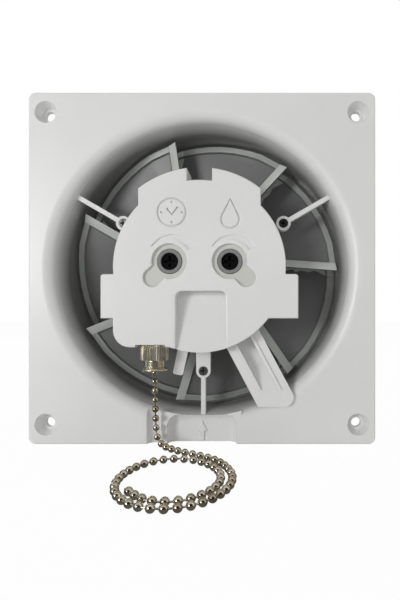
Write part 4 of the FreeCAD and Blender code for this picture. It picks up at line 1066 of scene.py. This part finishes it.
def is_knurl_groove(face):
    """Upright faces between the ridges of the nut."""
    out = face.center - (NUT_LOW + NUT_HIGH) / 2
    share = math.hypot(out.x, out.y) / ((NUT_HIGH.x - NUT_LOW.x) / 2)
    return abs(face.normal.z) < UPRIGHT_LIMIT and NUT_GROOVE_SHARES[0] < share < NUT_GROOVE_SHARES[1]


# Painted shade on the duct wall round the blades.
paint_faces(housing, DUCT_SHADE_FINISH, is_duct_wall)
# Painted shade in the crosses of the screws.
paint_faces(screws, RECESS_SHADE_FINISH, is_recess)
# Painted shade in the grooves of the knurl.
paint_faces(nut, GROOVE_SHADE_FINISH, is_knurl_groove)

# %% [markdown]
# The dial wells lie deep in the lid and look a little darker and warmer than its face. More shadow from the
# lamps would darken the whole lid, so only the floors of the wells take a darker finish.

# %% Floors of the dial wells
WELL_DEPTHS = (0.0010, 0.0022)
WELL_REACH = 0.0150
WELL_CENTRES = [ring_centre("timer_trimmer"), ring_centre("humidity_trimmer")]


def is_well(face):
    """Floors of the two dial wells and of their slots."""
    depth = face.center.y - LID_FACE
    near = any(math.hypot(face.center.x - x, face.center.z - z) < WELL_REACH for x, z in WELL_CENTRES)
    return near and face.normal.y < FLAT_FACING and WELL_DEPTHS[0] < depth < WELL_DEPTHS[1]


paint_faces(lid, WELL_FINISH, is_well)

# %% [markdown]
# The set is a plain white floor in a white surround. A white plane under lamps would turn grey away from
# them, so the floor glows white to the camera. A small share of it stays a matt plane that takes the fan's
# soft shadow. In reflections the floor is dim, as in a studio.

# %% Floor
FLOOR_LEVEL = cad_low.z
FLOOR_SIZE = 6
FLOOR_TONE = (0.9, 0.9, 0.9, 1)
FLOOR_ROUGHNESS = 0.9
FLOOR_GLOW_SHARE = 0.97
MIRRORED_FLOOR = 0.15


def white_floor():
    """Large floor that is white to the camera, dim in reflections, and still takes the object's shadow."""
    bpy.ops.object.select_all(action="DESELECT")
    bpy.ops.mesh.primitive_plane_add(size=FLOOR_SIZE, location=(0, 0, FLOOR_LEVEL))
    floor = new_piece("floor")
    material, tree, shader, _ = start_material("white floor")
    shader.inputs["Base Color"].default_value = FLOOR_TONE
    shader.inputs["Roughness"].default_value = FLOOR_ROUGHNESS
    glow = tree.nodes.new("ShaderNodeEmission")
    mix = tree.nodes.new("ShaderNodeMixShader")
    path = tree.nodes.new("ShaderNodeLightPath")
    camera_ray = path.outputs["Is Camera Ray"]
    share = math_node(tree, "MULTIPLY", camera_ray, FLOOR_GLOW_SHARE)
    either = math_node(tree, "MAXIMUM", share, path.outputs["Is Glossy Ray"])
    tree.links.new(ramp_along(tree, camera_ray, (0, 1), (MIRRORED_FLOOR, 1)), glow.inputs["Strength"])
    tree.links.new(either, mix.inputs["Fac"])
    tree.links.new(shader.outputs["BSDF"], mix.inputs[1])
    tree.links.new(glow.outputs["Emission"], mix.inputs[2])
    tree.links.new(mix.outputs["Shader"], tree.nodes["Material Output"].inputs["Surface"])
    paint(floor, material)


white_floor()
print("floor at z = %.3f" % FLOOR_LEVEL)

# %% [markdown]
# The surround is white to the camera. In reflections it is dark round the camera, bright at the sides and dim
# behind the fan, so the metal shows dark and bright bands. A picture of a studio could do this too, but a
# ramp of levels needs no other file. As soft fill light the surround is dimmer, and the same all round.

# %% Surround
FILL_LEVEL = 0.38
FROM_CAMERA = (-0.15, 0.96, -0.22)
MIRRORED_LEVELS = ((-0.82, 0.01), (-0.5, 1), (-0.2, 0.7), (0.2, 0.12))


def mirrored_level(tree):
    """Level of the surround in reflections, by how far a direction points away from the camera."""
    direction = tree.nodes.new("ShaderNodeTexCoord")
    along = tree.nodes.new("ShaderNodeVectorMath")
    along.operation = "DOT_PRODUCT"
    tree.links.new(direction.outputs["Generated"], along.inputs[0])
    along.inputs[1].default_value = FROM_CAMERA
    away = ramp_along(tree, along.outputs["Value"], (-1, 1), (0, 1))
    ramp = tree.nodes.new("ShaderNodeValToRGB")
    stops = ramp.color_ramp.elements
    while len(stops) < len(MIRRORED_LEVELS):
        stops.new(0.5)
    for stop, (share, level) in zip(stops, MIRRORED_LEVELS):
        stop.position = (share + 1) / 2
        stop.color = (level, level, level, 1)
    tree.links.new(away, ramp.inputs["Fac"])
    return ramp.outputs["Color"]


def white_surround():
    """World that is white to the camera, banded in reflections and dimmer as fill light."""
    world = bpy.data.worlds.new("white surround")
    scene.world = world
    world.use_nodes = True
    tree = world.node_tree
    path = tree.nodes.new("ShaderNodeLightPath")
    seen = math_node(tree, "MAXIMUM", path.outputs["Is Camera Ray"], path.outputs["Is Transmission Ray"])
    fill = (FILL_LEVEL, FILL_LEVEL, FILL_LEVEL)
    colour = tone_between(tree, seen, fill, (1, 1, 1))
    banded = tree.nodes.new("ShaderNodeMix")
    banded.data_type = "RGBA"
    tree.links.new(path.outputs["Is Glossy Ray"], banded.inputs["Factor"])
    tree.links.new(colour, banded.inputs["A"])
    tree.links.new(mirrored_level(tree), banded.inputs["B"])
    tree.links.new(banded.outputs["Result"], tree.nodes["Background"].inputs["Color"])


white_surround()
print("surround with a fill level of", FILL_LEVEL)

# %% [markdown]
# The key lamp stands in front at the left, a large weak one at the right softens its shadows, and two more
# light the back and the right side. One strong lamp would do for the front, but it would leave the back in
# the dark. Two of the four are kept out of reflections, where they would show as bright squares.

# %% Lamps
LAMPS = [
    ("key lamp", (-0.56, -0.78, 0.12), (0, 0, 0), 0.25, 3.3, True),
    ("front lamp", (0.50, -0.85, 0.02), (0, 0, 0), 0.8, 1.2, False),
    ("back lamp", (-0.60, 0.70, 0.45), (0, 0, 0), 0.5, 2.5, True),
    ("side lamp", (0.75, 0.15, 0.45), (0, 0.03, 0), 0.4, 1.5, False),
]


def add_lamp(name, place, target, size, power, mirrored):
    """Square area lamp that faces a point, and may be seen in reflections."""
    data = bpy.data.lights.new(name, "AREA")
    data.size = size
    data.energy = power
    lamp = bpy.data.objects.new(name, data)
    scene.collection.objects.link(lamp)
    lamp.location = place
    lamp.rotation_euler = (Vector(target) - Vector(place)).to_track_quat("-Z", "Y").to_euler()
    lamp.visible_glossy = mirrored


for lamp_values in LAMPS:
    add_lamp(*lamp_values)
print(len(LAMPS), "lamps")
